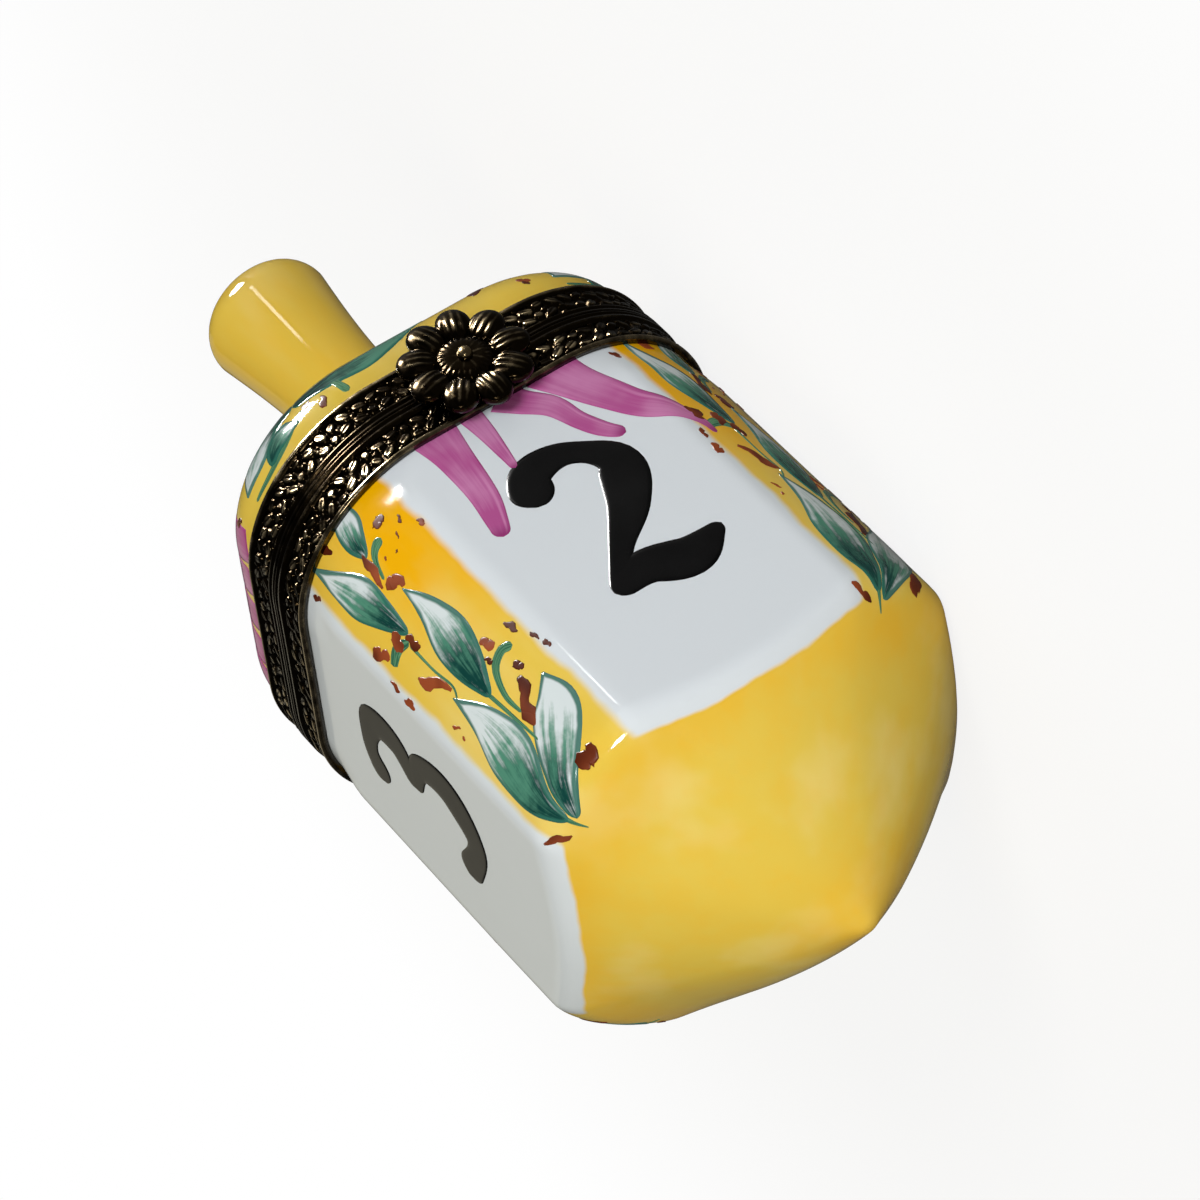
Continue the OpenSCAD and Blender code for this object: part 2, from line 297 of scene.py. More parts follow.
def halfSection(share, turns):
    # lateral reach and outward reach at a share of the way from a face's middle to its corner
    left = share * turnsLength(turns)
    lateral = np.minimum(left, turns[0])
    outReach = np.full_like(lateral, half)
    left = left - turns[0]
    heading = 0.0
    for radius, turn in turns[1]:
        bent = np.clip(left / radius, 0, turn)
        lateral = lateral + radius * (np.sin(heading + bent) - math.sin(heading))
        outReach = outReach - radius * (math.cos(heading) - np.cos(heading + bent))
        left = left - radius * turn
        heading += turn
    return lateral, outReach


def sectionAt(around, fold, width, roundness=0.0):
    # around runs in millimetres from the middle of the clasp face towards the upper face
    around = np.asarray(around, float)
    side = np.floor((around + halfFace) / (2 * halfFace)).astype(int)
    share = (around - 2 * halfFace * side) / halfFace
    plain = halfSection(np.abs(share), plainTurns)
    folded = halfSection(np.abs(share), foldedTurns)
    lateral = np.sign(share) * (plain[0] + fold * (folded[0] - plain[0]))
    outReach = plain[1] + fold * (folded[1] - plain[1])
    turn = share * faceTurn
    lateral = lateral / half + roundness * (np.sin(turn) - lateral / half)
    outReach = outReach / half + roundness * (np.cos(turn) - outReach / half)
    side = side % 4
    flat = lateral[..., None] * sideTangents[side] + outReach[..., None] * sideNormals[side]
    return flat * np.asarray(width, float)[..., None]


def arcWalk(way, width, arcs):
    # height and half width after walking down a chain of tangent arcs
    height = np.zeros_like(way)
    width = np.full_like(way, width)
    for length, radius, start in arcs:
        step = np.clip(way, 0, length)
        if radius is None:
            height = height - step
        else:
            bent = start + step / radius
            height = height - radius * (np.sin(bent) - math.sin(start))
            width = width - radius * (math.cos(start) - np.cos(bent))
        way = way - length
    return height, width


def arcsEnd(width, arcs):
    # length of a chain of arcs and the height at its end
    length = sum(arc[0] for arc in arcs)
    return length, arcWalk(np.array(length), width, arcs)[0]


def tipArcs(inset, point):
    width, shoulder, flank = (porcelain[key] - inset for key in ("half", "shoulderRadius", "flankRadius"))
    flankAngle = math.radians(porcelain["flankAngle"])
    passAngle = math.acos((shoulder + (flank - shoulder) * math.cos(flankAngle) - width) / (flank - point))
    return [
        (porcelain["depth"], None, 0.0),
        (shoulder * flankAngle, shoulder, 0.0),
        (flank * (passAngle - flankAngle), flank, flankAngle),
        (point * (math.pi / 2 - passAngle), point, passAngle),
    ]


outerTip = tipArcs(0.0, porcelain["pointRadius"])
hollowTip = tipArcs(porcelain["wall"], porcelain["hollowPoint"])
hollowHalf = half - porcelain["wall"]
tipEnd, tipHeight = arcsEnd(half, outerTip)
hollowEnd = arcsEnd(hollowHalf, hollowTip)[0]


def faceDistance(around):
    return np.abs(np.mod(around + halfFace, 2 * halfFace) - halfFace)


def basePoint(around, down):
    around, down = np.broadcast_arrays(np.asarray(around, float), np.asarray(down, float))
    height = arcWalk(down, half, outerTip)[0]
    toCorner = np.sin(math.pi / 2 * faceDistance(around) / halfFace) ** 2
    arch = easeBetween(down, porcelain["archStart"], porcelain["archFull"])
    arch = arch * (1 - easeBetween(down, porcelain["archFade"], tipEnd))
    bow = arch * (porcelain["archFace"] * (1 - toCorner) - porcelain["archCorner"] * toCorner)
    width = arcWalk(down - bow, half, outerTip)[1] - porcelain["archInset"] * arch
    fold = easeBetween(down, porcelain["foldStart"], porcelain["foldFull"])
    fold = fold * (1 - easeBetween(down, porcelain["foldFade"], porcelain["foldGone"]))
    soft = porcelain["tipSoft"] * easeBetween(down, porcelain["tipSoftStart"], porcelain["tipSoftFull"])
    point = easeBetween(down, tipEnd - porcelain["pointSoft"], tipEnd - porcelain["pointEnd"])
    flat = sectionAt(around, fold, width, soft + (1 - soft) * point)
    return np.concatenate((flat, height[..., None]), -1)


lid = {
    "collarTop": 3.3, "edge": 1.25, "turnRadius": 4.0, "turnAngle": 70.0,
    "stemTop": 30.3, "footRadius": 3.9, "endRadius": 5.0, "endRound": 2.4, "fillet": 2.2, "waist": 0.35,
    "roundStart": 0.4, "roundFull": 5, "filletGap": 0.15, "stemWay": 22,
}
lidTurn = math.radians(lid["turnAngle"])
domeRadius = (half - lid["turnRadius"] * (1 - math.cos(lidTurn))) / math.cos(lidTurn)
lidEdgeTop = lid["collarTop"] + lid["edge"]


def domeArcs(inset):
    turnRadius, dome = lid["turnRadius"] - inset, domeRadius - inset
    return [
        (lidEdgeTop, None, 0.0),
        (turnRadius * lidTurn, turnRadius, 0.0),
        (dome * (math.pi / 2 - lidTurn), dome, lidTurn),
    ]


lidArcs = domeArcs(0.0)
filletReach = lid["footRadius"] + lid["fillet"]


def lidPoint(around, up):
    around, up = np.broadcast_arrays(np.asarray(around, float), np.asarray(up, float))
    drop, width = arcWalk(up, half, lidArcs)
    roundness = 1 - easeBetween(width, filletReach + lid["roundStart"], filletReach + lid["roundFull"])
    flat = sectionAt(around, 0.0, width, roundness)
    return np.concatenate((flat, -drop[..., None]), -1)


def surfaceNormal(surface, around, way):
    step = 0.03
    alongAround = surface(around + step, way) - surface(around - step, way)
    alongWay = surface(around, way + step) - surface(around, way - step)
    normal = np.cross(alongAround, alongWay)
    normal /= np.linalg.norm(normal, axis=-1, keepdims=True)
    here = surface(around, way)
    inward = (normal[..., :2] * here[..., :2]).sum(-1, keepdims=True) < 0
    return np.where(inward, -normal, normal)


def shareColumns():
    # closer columns over the folds and corners
    count = porcelain["columnsPerHalfFace"]
    flatCount = int(count * porcelain["flatColumns"])
    flatShare = (porcelain["flatHalf"] - porcelain["flatShort"]) / halfFace
    shares = np.concatenate((
        np.linspace(0, flatShare, flatCount, endpoint=False),
        np.linspace(flatShare, 1, count - flatCount, endpoint=False),
    ))
    ring = []
    for side in range(4):
        start = 2 * halfFace * side
        ring.extend(start + halfFace * shares)
        ring.extend(start + 2 * halfFace - halfFace * shares[::-1])
    return np.unique(np.round(np.mod(ring, 8 * halfFace), 6))


ringAround = shareColumns()
columns = len(ringAround)


def waySteps(arcs, start, step, least):
    ways, at = [start], 0.0
    for arc in arcs:
        first = max(at, start)
        at += arc[0]
        count = max(least, int((at - first) / step))
        ways.extend(np.linspace(first, at, count + 1)[1:])
    return np.array(ways)


def polarClose(rows, startPole, endPole):
    # closes a stack of rings with a point at each end
    points = np.concatenate((np.asarray([startPole]), rows.reshape(-1, 3), np.asarray([endPole])))
    rings = len(rows)
    faces = wrapFaces(rings, columns, 1)
    last = 1 + (rings - 1) * columns
    for column in range(columns):
        following = (column + 1) % columns
        faces.append((0, 1 + following, 1 + column))
        faces.append((len(points) - 1, last + column, last + following))
    return points, faces


def cornerDistance(around):
    # signed, from the nearest corner's middle line, negative on the clasp and hinge faces
    corner = np.floor(around / (2 * halfFace))
    return (np.mod(around, 2 * halfFace) - halfFace) * np.where(np.mod(corner, 2) == 0, 1, -1)


# glaze
glaze = {
    "white": rgb(226, 233, 240), "yellow": rgb(238, 206, 84),
    "paleYellow": rgb(246, 222, 132), "orange": rgb(250, 184, 4),
    "gloss": 0.06, "specular": 0.5, "bending": 1.5, "waveDepth": 0.00004, "waveStrength": 0.6,
    # white panel: half width, end below the joint, how far its end curves, soft edges
    "panelHalf": 9.75, "panelEnd": 33.5, "panelArch": 0.018, "sideSoft": 0.35, "endSoft": 0.18,
    "sideWobble": 1.1, "endWobble": 0.9, "underSooner": 1.8, "underBlend": 4.0,
    # yellow washes: noise scales, and how much orange or pale they bring
    "wobbleScale": 260.0, "washScale": 130.0, "strokeScale": 420.0, "stretch": (0.3, 1.0, 1.0),
    "washDeep": 0.12, "strokeDeep": 0.14, "washThin": 0.75, "stemWay": (8.0, 24.0), "stemDeep": 0.12,
    # orange beside the panels, by millimetres from the corner and below the joint
    "bandAcross": (3.0, -2.5, 0.25, 1.0), "bandDown": (22.0, 7.0, 0.1, 0.95), "bandEnd": (33.0, 30.0),
    "bandWobble": 5.0, "bandDownWobble": 9.0,
    "borderStart": (31.0, 32.4), "borderFade": (36.5, 33.2, 0.0, 0.3), "pointDeep": (44.0, 50.5, 0.0, 0.35),
}


def fire(shader, color, gloss, specular):
    # a colour under or in the fired glaze
    fired = placeGroup(shader.id_data, glazeGroup, {"Gloss": gloss})
    setInputs(shader, {
        "Base Color": color, "Roughness": fired["Roughness"], "Specular IOR Level": specular,
        "Normal": bumped(fired["Height"], glaze["waveStrength"], glaze["waveDepth"]),
    })


def makeGlaze(name, forLid):
    material, tree, shader = newMaterial(name)
    across, way, inside = mark(tree, "faceAcross"), mark(tree, "faceWay"), mark(tree, "inside")
    here = place(tree)
    wobble = minus(noise(here, glaze["wobbleScale"], 2.0), 0.5)
    stretch = addNode(tree, "ShaderNodeMapping", {"Vector": here, "Scale": glaze["stretch"]}).outputs[0]
    washes = noise(stretch, glaze["washScale"], 3.0, 0.5)
    strokes = noise(stretch, glaze["strokeScale"], 3.0, 0.6)
    # yellow wash, deeper along its borders and thin where the brush lifted
    washDeep = ramp(washes, 0.45, 0.75, 0.0, glaze["washDeep"])
    deep = plus(washDeep, ramp(strokes, 0.4, 0.7, 0.0, glaze["strokeDeep"]))
    if forLid:
        deep = plus(deep, ramp(way, *glaze["stemWay"], 0.0, glaze["stemDeep"]), True)
    else:
        corner = added(mark(tree, "cornerAcross"), wobble, glaze["bandWobble"])
        upper = added(way, wobble, glaze["bandDownWobble"])
        band = times(ramp(corner, *glaze["bandAcross"]), ramp(upper, *glaze["bandDown"]))
        deep = plus(deep, times(band, ramp(way, *glaze["bandEnd"])))
        border = times(ramp(way, *glaze["borderStart"]), ramp(way, *glaze["borderFade"]))
        point = ramp(way, *glaze["pointDeep"])
        deep = plus(deep, plus(border, point), True)
    thin = times(ramp(washes, 0.54, 0.3), glaze["washThin"])
    ground = mixColor(thin, glaze["yellow"], glaze["paleYellow"])
    ground = mixColor(deep, ground, glaze["orange"])
    if forLid:
        white = inside
    else:
        panelHalf, sideSoft = glaze["panelHalf"], glaze["sideSoft"]
        panelEnd, endSoft = glaze["panelEnd"], glaze["endSoft"]
        side = added(across, wobble, glaze["sideWobble"])
        side = ramp(side, panelHalf - sideSoft, panelHalf + sideSoft, 1.0, 0.0)
        arched = added(way, times(across, across), glaze["panelArch"])
        end = added(arched, wobble, glaze["endWobble"])
        end = ramp(end, panelEnd - endSoft, panelEnd + endSoft, 1.0, 0.0)
        white = calc("MAXIMUM", times(side, end), inside)
    fire(shader, mixColor(white, ground, glaze["white"]), glaze["gloss"], glaze["specular"])
    setInputs(shader, {"IOR": glaze["bending"]})
    return material


baseGlaze = makeGlaze("baseGlaze", False)
lidGlaze = makeGlaze("lidGlaze", True)


def hollowRings(arcs, least, upSign, softReach=None):
    # rings of the inside from the rim on, with their ways and the point at the end
    ways = waySteps(arcs, porcelain["rim"], porcelain["hollowStep"], least)[:-1]
    end, endDrop = arcsEnd(hollowHalf, arcs)
    drop, width = arcWalk(ways, hollowHalf, arcs)
    roundness = np.zeros(len(ways))
    if softReach:
        roundness = easeBetween(ways, end - softReach, end - porcelain["pointEnd"])
    around, width, height, roundness = np.broadcast_arrays(
        ringAround[None, :], width[:, None], -upSign * drop[:, None], roundness[:, None]
    )
    rings = np.concatenate((sectionAt(around, 0.0, width, roundness), height[..., None]), -1)
    return rings, ways, (0, 0, -upSign * endDrop)


def shellMarks(outerWays, innerWays, sooner, firstWay, lastWay):
    # distance from a face's middle, way from the joint, inside or not
    ways = np.concatenate((outerWays, innerWays))
    isInside = np.repeat((0, 1), (len(outerWays), len(innerWays)))
    return {
        "faceAcross": np.concatenate(([0], np.tile(faceDistance(ringAround), len(ways)), [0])),
        "faceWay": np.concatenate(([firstWay], (ways[:, None] + sooner).ravel(), [lastWay])),
        "inside": np.concatenate(([0], np.repeat(isInside, columns), [1])),
    }


def buildBase():
    ways = waySteps(outerTip, porcelain["rim"], porcelain["rowStep"], 9)[-2::-1]
    outer = basePoint(ringAround[None, :], ways[:, None])
    inner, hollowWays, hollowPole = hollowRings(hollowTip, 5, -1, porcelain["hollowSoft"])
    points, faces = polarClose(np.concatenate((outer, inner)), (0, 0, tipHeight), hollowPole)
    # the panel underneath ends a little sooner
    under = np.mod(ringAround + halfFace, 8 * halfFace) >= 6 * halfFace
    inFromCorner = easeBetween(halfFace - faceDistance(ringAround), 0.0, glaze["underBlend"])
    sooner = np.where(under, glaze["underSooner"] * inFromCorner, 0.0)
    marks = shellMarks(ways, hollowWays, sooner, tipEnd, hollowEnd)
    rings = len(ways) + len(hollowWays)
    marks["cornerAcross"] = np.concatenate(([0], np.tile(cornerDistance(ringAround), rings), [0]))
    return makePiece(
        "base_painted_porcelain", points, faces, baseGlaze, "base", marks, "base_porcelain"
    )


def stemProfile():
    # radius and height from the fillet's foot to the middle of the stem's end
    profile = []
    filletHeight = -arcsEnd(half, lidArcs)[1]
    filletHeight += -domeRadius + math.sqrt(domeRadius ** 2 - filletReach ** 2)
    for angle in np.linspace(0, math.pi / 2, 9):
        radius = filletReach - lid["fillet"] * math.sin(angle)
        profile.append((radius, filletHeight + lid["fillet"] * (1 - math.cos(angle))))
    low, high = profile[-1][1], lid["stemTop"] - lid["endRound"]
    for share in np.linspace(0, 1, 28)[1:]:
        radius = lid["footRadius"] + (lid["endRadius"] - lid["footRadius"]) * share
        profile.append((radius - lid["waist"] * math.sin(math.pi * share), low + (high - low) * share))
    for angle in np.linspace(0, math.pi / 2, 13)[1:]:
        radius = lid["endRadius"] - lid["endRound"] * (1 - math.cos(angle))
        profile.append((radius, high + lid["endRound"] * math.sin(angle)))
    profile.extend((radius, lid["stemTop"]) for radius in (1.7, 0.8))
    return np.array(profile)


def buildLid():
    ways = waySteps(lidArcs, porcelain["rim"], porcelain["rowStep"], 10)
    width = arcWalk(ways, half, lidArcs)[1]
    ways = ways[width > filletReach + lid["filletGap"]]
    outer = lidPoint(ringAround[None, :], ways[:, None])
    profile = stemProfile()
    turns = ringAround / halfFace * faceTurn
    flatWays = np.stack((-np.sin(turns), -np.cos(turns)), -1)
    stemHeights = np.broadcast_to(profile[:, 1:, None], (len(profile), columns, 1))
    stem = np.concatenate((profile[:, :1, None] * flatWays[None], stemHeights), -1)
    inner, hollowWays, hollowPole = hollowRings(domeArcs(porcelain["wall"]), 4, 1)
    rows = np.concatenate((stem[::-1], outer[::-1], inner))
    points, faces = polarClose(rows, (0, 0, lid["stemTop"]), hollowPole)
    stemWays = ways[-1] + np.linspace(0, lid["stemWay"], len(profile))
    outerWays = np.concatenate((stemWays[::-1], ways[::-1]))
    marks = shellMarks(outerWays, hollowWays, np.zeros(columns), stemWays[-1], 0)
    return makePiece(
        "lid_painted_porcelain", points, faces, lidGlaze, "lid", marks, "lid_porcelain"
    )


basePiece = buildBase()
lidPiece = buildLid()
print("porcelain made", len(basePiece.data.vertices), len(lidPiece.data.vertices))


# collars
collar = {
    "height": 3.3, "proud": 0.6, "halfGap": 0.04, "groove": 0.36, "grooveRadius": 0.14,
    "fieldStart": 0.72, "fieldEnd": 2.94, "edgeGap": 0.05, "cement": 0.15, "lip": 0.5,
    "flange": 0.4, "flangeDepth": 2.4, "bevel": 0.07,
    "reliefFloor": 0.22, "reliefHeight": 0.36, "reliefFade": 0.06, "columns": 1472, "fieldRows": 32,
    "motifs": 34, "lean": 0.5, "wander": 0.14, "veinDepth": 0.22, "veinWidth": 0.13, "veined": 0.45,
    "stagger": 0.7, "rubbedFrom": (0.45, 0.9), "wear": (0.6, 0.38),
    # chased leaves and beads of one motif: along, across, half length, half width, slant, height
    "lobes": [
        (-1.25, 0.48, 0.62, 0.4, 34, 1.0), (-0.15, 0.6, 0.5, 0.34, -22, 0.88),
        (0.95, 0.48, 0.62, 0.4, 42, 0.96), (-0.75, -0.45, 0.6, 0.38, -30, 0.96),
        (0.3, -0.42, 0.4, 0.36, 0, 0.92), (1.3, -0.5, 0.6, 0.38, 28, 1.0),
        (-1.72, -0.12, 0.28, 0.26, 0, 0.82), (1.72, 0.14, 0.28, 0.25, 0, 0.8),
        (-0.36, 0.04, 0.24, 0.22, 0, 0.78), (-1.6, -0.82, 0.23, 0.21, 0, 0.72),
        (-0.18, -0.9, 0.22, 0.18, 0, 0.66), (0.72, -0.92, 0.2, 0.17, 0, 0.64),
        (-0.72, 0.92, 0.2, 0.17, 0, 0.66), (0.4, 0.92, 0.22, 0.17, 0, 0.64),
        (1.62, 0.82, 0.23, 0.21, 0, 0.72),
    ],
}


def collarPath():
    # places along the porcelain's rim with the way out of it, one for each column
    straight = half - porcelain["cornerRadius"]
    arc = (porcelain["cornerRadius"] + collar["proud"]) * math.pi / 2
    total = 4 * (2 * straight + arc)
    along = np.arange(collar["columns"]) * total / collar["columns"]
    side = np.floor(along / (2 * straight + arc)).astype(int)
    left = along - side * (2 * straight + arc)
    turn = np.clip((left - 2 * straight) / arc, 0, 1) * math.pi / 2
    lateral = np.minimum(left, 2 * straight) - straight
    localOut = np.stack((np.sin(turn), np.cos(turn)), -1)  # along the side, out of the side
    localAt = np.stack((lateral, np.full_like(lateral, straight)), -1) + porcelain["cornerRadius"] * localOut
    tangents, normals = sideTangents[side % 4], sideNormals[side % 4]
    at = localAt[:, :1] * tangents + localAt[:, 1:] * normals
    out = localOut[:, :1] * tangents + localOut[:, 1:] * normals
    return along, total, at, out


def chasing(along, total, rise, stemSign):
    # height of the chased field, 0 to 1: slanting leaves and beads, each a little different from the last
    pitch = total / collar["motifs"]
    across = (rise - 0.5) * (collar["fieldEnd"] - collar["fieldStart"])
    height = np.zeros_like(along)
    for neighbour in (-1, 0, 1):
        motif = np.floor(along / pitch) + neighbour
        x = along - (motif + 0.5) * pitch
        motif = np.mod(motif, collar["motifs"])
        for index, (lobeAlong, lobeAcross, longHalf, wideHalf, slant, level) in enumerate(collar["lobes"]):
            sway = np.sin(motif * 2.3 + index * 1.9)
            turn = math.radians(slant) + 0.3 * sway
            dx, dy = x - lobeAlong - 0.07 * np.sin(motif * 5.1 + index), across - lobeAcross - 0.06 * sway
            u = (dx * np.cos(turn) + dy * np.sin(turn)) / longHalf
            v = (dy * np.cos(turn) - dx * np.sin(turn)) / wideHalf
            dome = level * np.sqrt(np.clip(1 - (u * u + v * v) ** 3, 0, 1))
            wander = u * np.sin(motif * 3.3 + index) + v * np.cos(motif * 4.7 + index * 2.1)
            lean = collar["wander"] * wander - stemSign * collar["lean"] * dy
            dome = dome * (0.8 + lean)  # each leaf leans a little towards the stem
            if longHalf > collar["veined"]:
                dome = dome * (1 - collar["veinDepth"] * np.exp(-(v / collar["veinWidth"]) ** 2))
            height = np.maximum(height, dome)
    return height * easeBetween(np.minimum(rise, 1 - rise), 0.0, collar["reliefFade"])


def collarProfile():
    # outline of a collar: way out of the porcelain, height, share of the chased field or None, brightness
    proud, gap, bevel, top = collar["proud"], collar["halfGap"], collar["bevel"], collar["height"]
    fieldStart, fieldEnd, edgeGap = collar["fieldStart"], collar["fieldEnd"], collar["edgeGap"]
    profile = [
        (proud - bevel, gap, None, 0.2), (proud - bevel * 0.3, gap + bevel * 0.3, None, 0.4),
        (proud, gap + bevel, None, 0.25),
    ]
    for angle in np.linspace(-math.pi / 2, math.pi / 2, 7):
        depth = collar["grooveRadius"] * math.cos(angle)
        height = collar["groove"] + collar["grooveRadius"] * math.sin(angle)
        profile.append((proud - depth, height, None, 0.22 - depth))
    profile.append((proud, fieldStart - 0.07, None, 0.4))
    profile.append((proud - 0.03, fieldStart - 0.02, None, 0.4))
    for share in np.linspace(0, 1, collar["fieldRows"]):
        profile.append((collar["reliefFloor"], fieldStart + share * (fieldEnd - fieldStart), share, 0.0))
    # plain outer edge
    profile += [
        (proud - 0.03, fieldEnd + 0.03, None, 0.5), (proud, fieldEnd + 0.08, None, 0.65),
        (proud - 0.01, top - 0.14, None, 0.6), (proud - 0.06, top - 0.05, None, 0.6),
        (proud - 0.16, top, None, 0.5), (edgeGap, top, None, 0.2), (edgeGap, fieldEnd, None, 0.2),
    ]
    # back along the cement, over the rim and down the flange inside
    cement, flange, depth = collar["cement"], collar["flange"], collar["flangeDepth"]
    inside = -porcelain["wall"] - cement
    rimTop = gap + collar["lip"]
    profile += [
        (cement, fieldEnd, None, 0.2), (cement, rimTop, None, 0.2), (inside, rimTop, None, 0.4),
        (inside, depth - 0.1, None, 0.5), (inside - 0.1, depth, None, 0.6),
        (inside - flange + 0.1, depth, None, 0.6), (inside - flange, depth - 0.1, None, 0.6),
        (inside - flange, gap + 0.1, None, 0.6), (inside - flange + 0.1, gap, None, 0.6),
    ]
    return profile


def brassRing(name, rows, raised, body, node):
    # rings of points, the last of which joins the first
    points = np.concatenate(rows)
    faces = wrapFaces(len(rows) + 1, len(rows[0]))
    faces = [tuple(index % len(points) for index in face) for face in faces]
    makePiece(name, points, faces, collarBrass, body, {"raised": np.concatenate(raised)}, node)


def buildCollar(name, body, node, upSign):
    along, total, at, out = collarPath()
    places = along if upSign > 0 else along + collar["stagger"]
    rows, raised = [], []
    for distance, height, share, rubbed in collarProfile():
        reach = np.full(len(along), distance)
        bright = np.full(len(along), rubbed)
        if share is not None:
            relief = chasing(places, total, np.full(len(along), share), upSign)
            reach = reach + collar["reliefHeight"] * relief
            # some stretches are handled more than others
            wear = np.sin(along * 0.53 + 1.0 + 2 * share) * np.sin(along * 0.21 + 2.0)
            wear = collar["wear"][0] + collar["wear"][1] * wear
            bright = easeBetween(relief, *collar["rubbedFrom"]) * wear
        heights = np.full((len(along), 1), upSign * height)
        rows.append(np.concatenate((at + out * reach[:, None], heights), -1))
        raised.append(bright)
    brassRing(name, rows, raised, body, node)


def makeBrass(name, dark, rubbed, polish, grainScale, readsRaised):
    material, tree, shader = newMaterial(name)
    inputs = {"Dark": dark, "Rubbed": rubbed, "Polish": polish, "Grain Scale": grainScale}
    if readsRaised:
        inputs["Raised"] = mark(tree, "raised")
    aged = placeGroup(tree, brassGroup, inputs)
    setInputs(shader, {
        "Base Color": aged["Color"], "Roughness": aged["Roughness"], "Metallic": 1.0,
        "Normal": bumped(aged["Height"], brassAge["grainStrength"], brassAge["grainDepth"]),
    })
    return material


collarBrass = makeBrass("collarBrass", rgb(42, 33, 20), rgb(218, 196, 154), 0.12, 2600.0, True)
rivetBrass = makeBrass("rivetBrass", rgb(120, 100, 66), rgb(224, 204, 160), 0.12, 4200.0, False)
hingeBrass = makeBrass("hingeBrass", rgb(70, 50, 24), rgb(176, 138, 72), 0.2, 4200.0, False)
buildCollar("base_chased_collar", "base", "base_collar", -1)
buildCollar("lid_chased_collar", "lid", "lid_collar", 1)
print("collars chased")


# clasp flower
flower = {
    "back": 17.95, "hole": 0.37, "plate": 0.4, "petals": 9, "firstTurn": 90.0,
    "petalRing": 3.3, "petalReach": 1.44, "petalHalf": 1.27, "petalHeight": 0.68, "ribs": 5, "ribDepth": 0.09,
    "ribStart": (-0.4, 0.7), "discRadius": 2.0, "discHeight": 0.5,
    "notches": 27, "notchDepth": 0.03, "notchFrom": (1.3, 1.7), "notchTo": (-2.3, -1.9),
    "bright": 0.58, "brightHeight": 0.6, "ribBright": 0.3, "edgeBright": 0.2,
    "edgeDepth": 0.25, "backShare": 0.985, "columnsPerPetal": 44, "rows": 64, "crowding": 0.9,
}


def buildFlower():
    count = flower["petals"] * flower["columnsPerPetal"]
    turn = np.arange(count) * 2 * math.pi / count
    step = 2 * math.pi / flower["petals"]
    offset = np.mod(turn, step) - step / 2
    # outline: where a ray leaves its petal
    a = (np.cos(offset) / flower["petalReach"]) ** 2 + (np.sin(offset) / flower["petalHalf"]) ** 2
    b = -2 * flower["petalRing"] * np.cos(offset) / flower["petalReach"] ** 2
    c = (flower["petalRing"] / flower["petalReach"]) ** 2 - 1
    outline = (-b + np.sqrt(np.clip(b * b - 4 * a * c, 0, None))) / (2 * a)
    shares = np.linspace(0, 1, flower["rows"]) ** flower["crowding"]
    radius = flower["hole"] + (outline[None] - flower["hole"]) * shares[:, None]
    radial = radius * np.cos(offset)[None] - flower["petalRing"]
    lateral = radius * np.sin(offset)[None]
    reach = (radial / flower["petalReach"]) ** 2 + (lateral / flower["petalHalf"]) ** 2
    petal = flower["petalHeight"] * np.sqrt(np.clip(1 - reach, 0, 1))
    ribs = np.cos(2 * math.pi * flower["ribs"] * lateral / (2 * flower["petalHalf"]))
    ribbed = np.clip(1 - reach, 0, 1) * easeBetween(-radial, *flower["ribStart"])
    petal = petal + flower["ribDepth"] * ribs * ribbed
    disc = flower["discHeight"] * np.sqrt(np.clip(1 - (radius / flower["discRadius"]) ** 4, 0, 1))
    # notches round the edge of the disc
    notches = np.cos(flower["notches"] * turn)[None]
    notches = notches * easeBetween(radius, *flower["notchFrom"]) * easeBetween(-radius, *flower["notchTo"])
    height = np.maximum(np.maximum(petal, disc) + flower["notchDepth"] * notches, 0)
    front = flower["plate"] + height
    turned = turn + math.radians(flower["firstTurn"])
    ways = np.stack((np.cos(turned), np.sin(turned)), -1)

    def ring(radii, depths):
        outs = np.broadcast_to(-flower["back"] - depths, (count,))
        return np.stack((radii * ways[:, 0], outs, radii * ways[:, 1]), -1)

    rows = [ring(radii, depths) for radii, depths in zip(radius, front)]
    rubbed = flower["bright"] * np.clip(height / flower["brightHeight"], 0, 1)
    raised = list(rubbed * (1 - flower["ribBright"] * (1 - ribs)))
    # round the edge to the flat back
    hole = np.full(count, flower["hole"])
    for edge, depth in ((outline, flower["edgeDepth"]), (outline * flower["backShare"], 0.0), (hole, 0.0)):
        rows.append(ring(edge, depth))
        raised.append(np.full(count, flower["edgeBright"]))
    brassRing("clasp_ribbed_flower", rows, raised, "lid", "clasp_flower")


buildFlower()
print("flower made")


# brush-painted marks
strokeMarks = ("along", "side", "rim", "seed", "fill")
brush = {
    "layer": 0.003, "layers": 6, "sink": 0.05, "deepSink": 1.4, "step": 0.3, "least": 14,
    "across": 11, "edge": 0.965, "seeds": 17, "hairs": 4.0, "streakLength": 1.5,
    "leastWidth": 0.02, "leastEnd": 0.012,
}
lifts = {"stalk": 0.02, "rose": 0.025, "number": 0.035}


def newPot():
    pot = {key: [] for key in ("points", "faces") + strokeMarks}
    return {**pot, "count": 0, "strokes": 0}


def smoothWay(values, shares):
    # curve through given points
    values = np.asarray(values, float)
    padded = np.concatenate((2 * values[:1] - values[1:2], values, 2 * values[-1:] - values[-2:-1]))
    at = np.clip(shares, 0, 1) * (len(values) - 1)
    piece = np.minimum(at.astype(int), len(values) - 2)
    t = (at - piece)[:, None] if values.ndim > 1 else at - piece
    p = [padded[piece + k] for k in range(4)]
    bend = 2 * p[0] - 5 * p[1] + 4 * p[2] - p[3]
    twist = 3 * p[1] - p[0] - 3 * p[2] + p[3]
    return 0.5 * (2 * p[1] + (p[2] - p[0]) * t + bend * t ** 2 + twist * t ** 3)


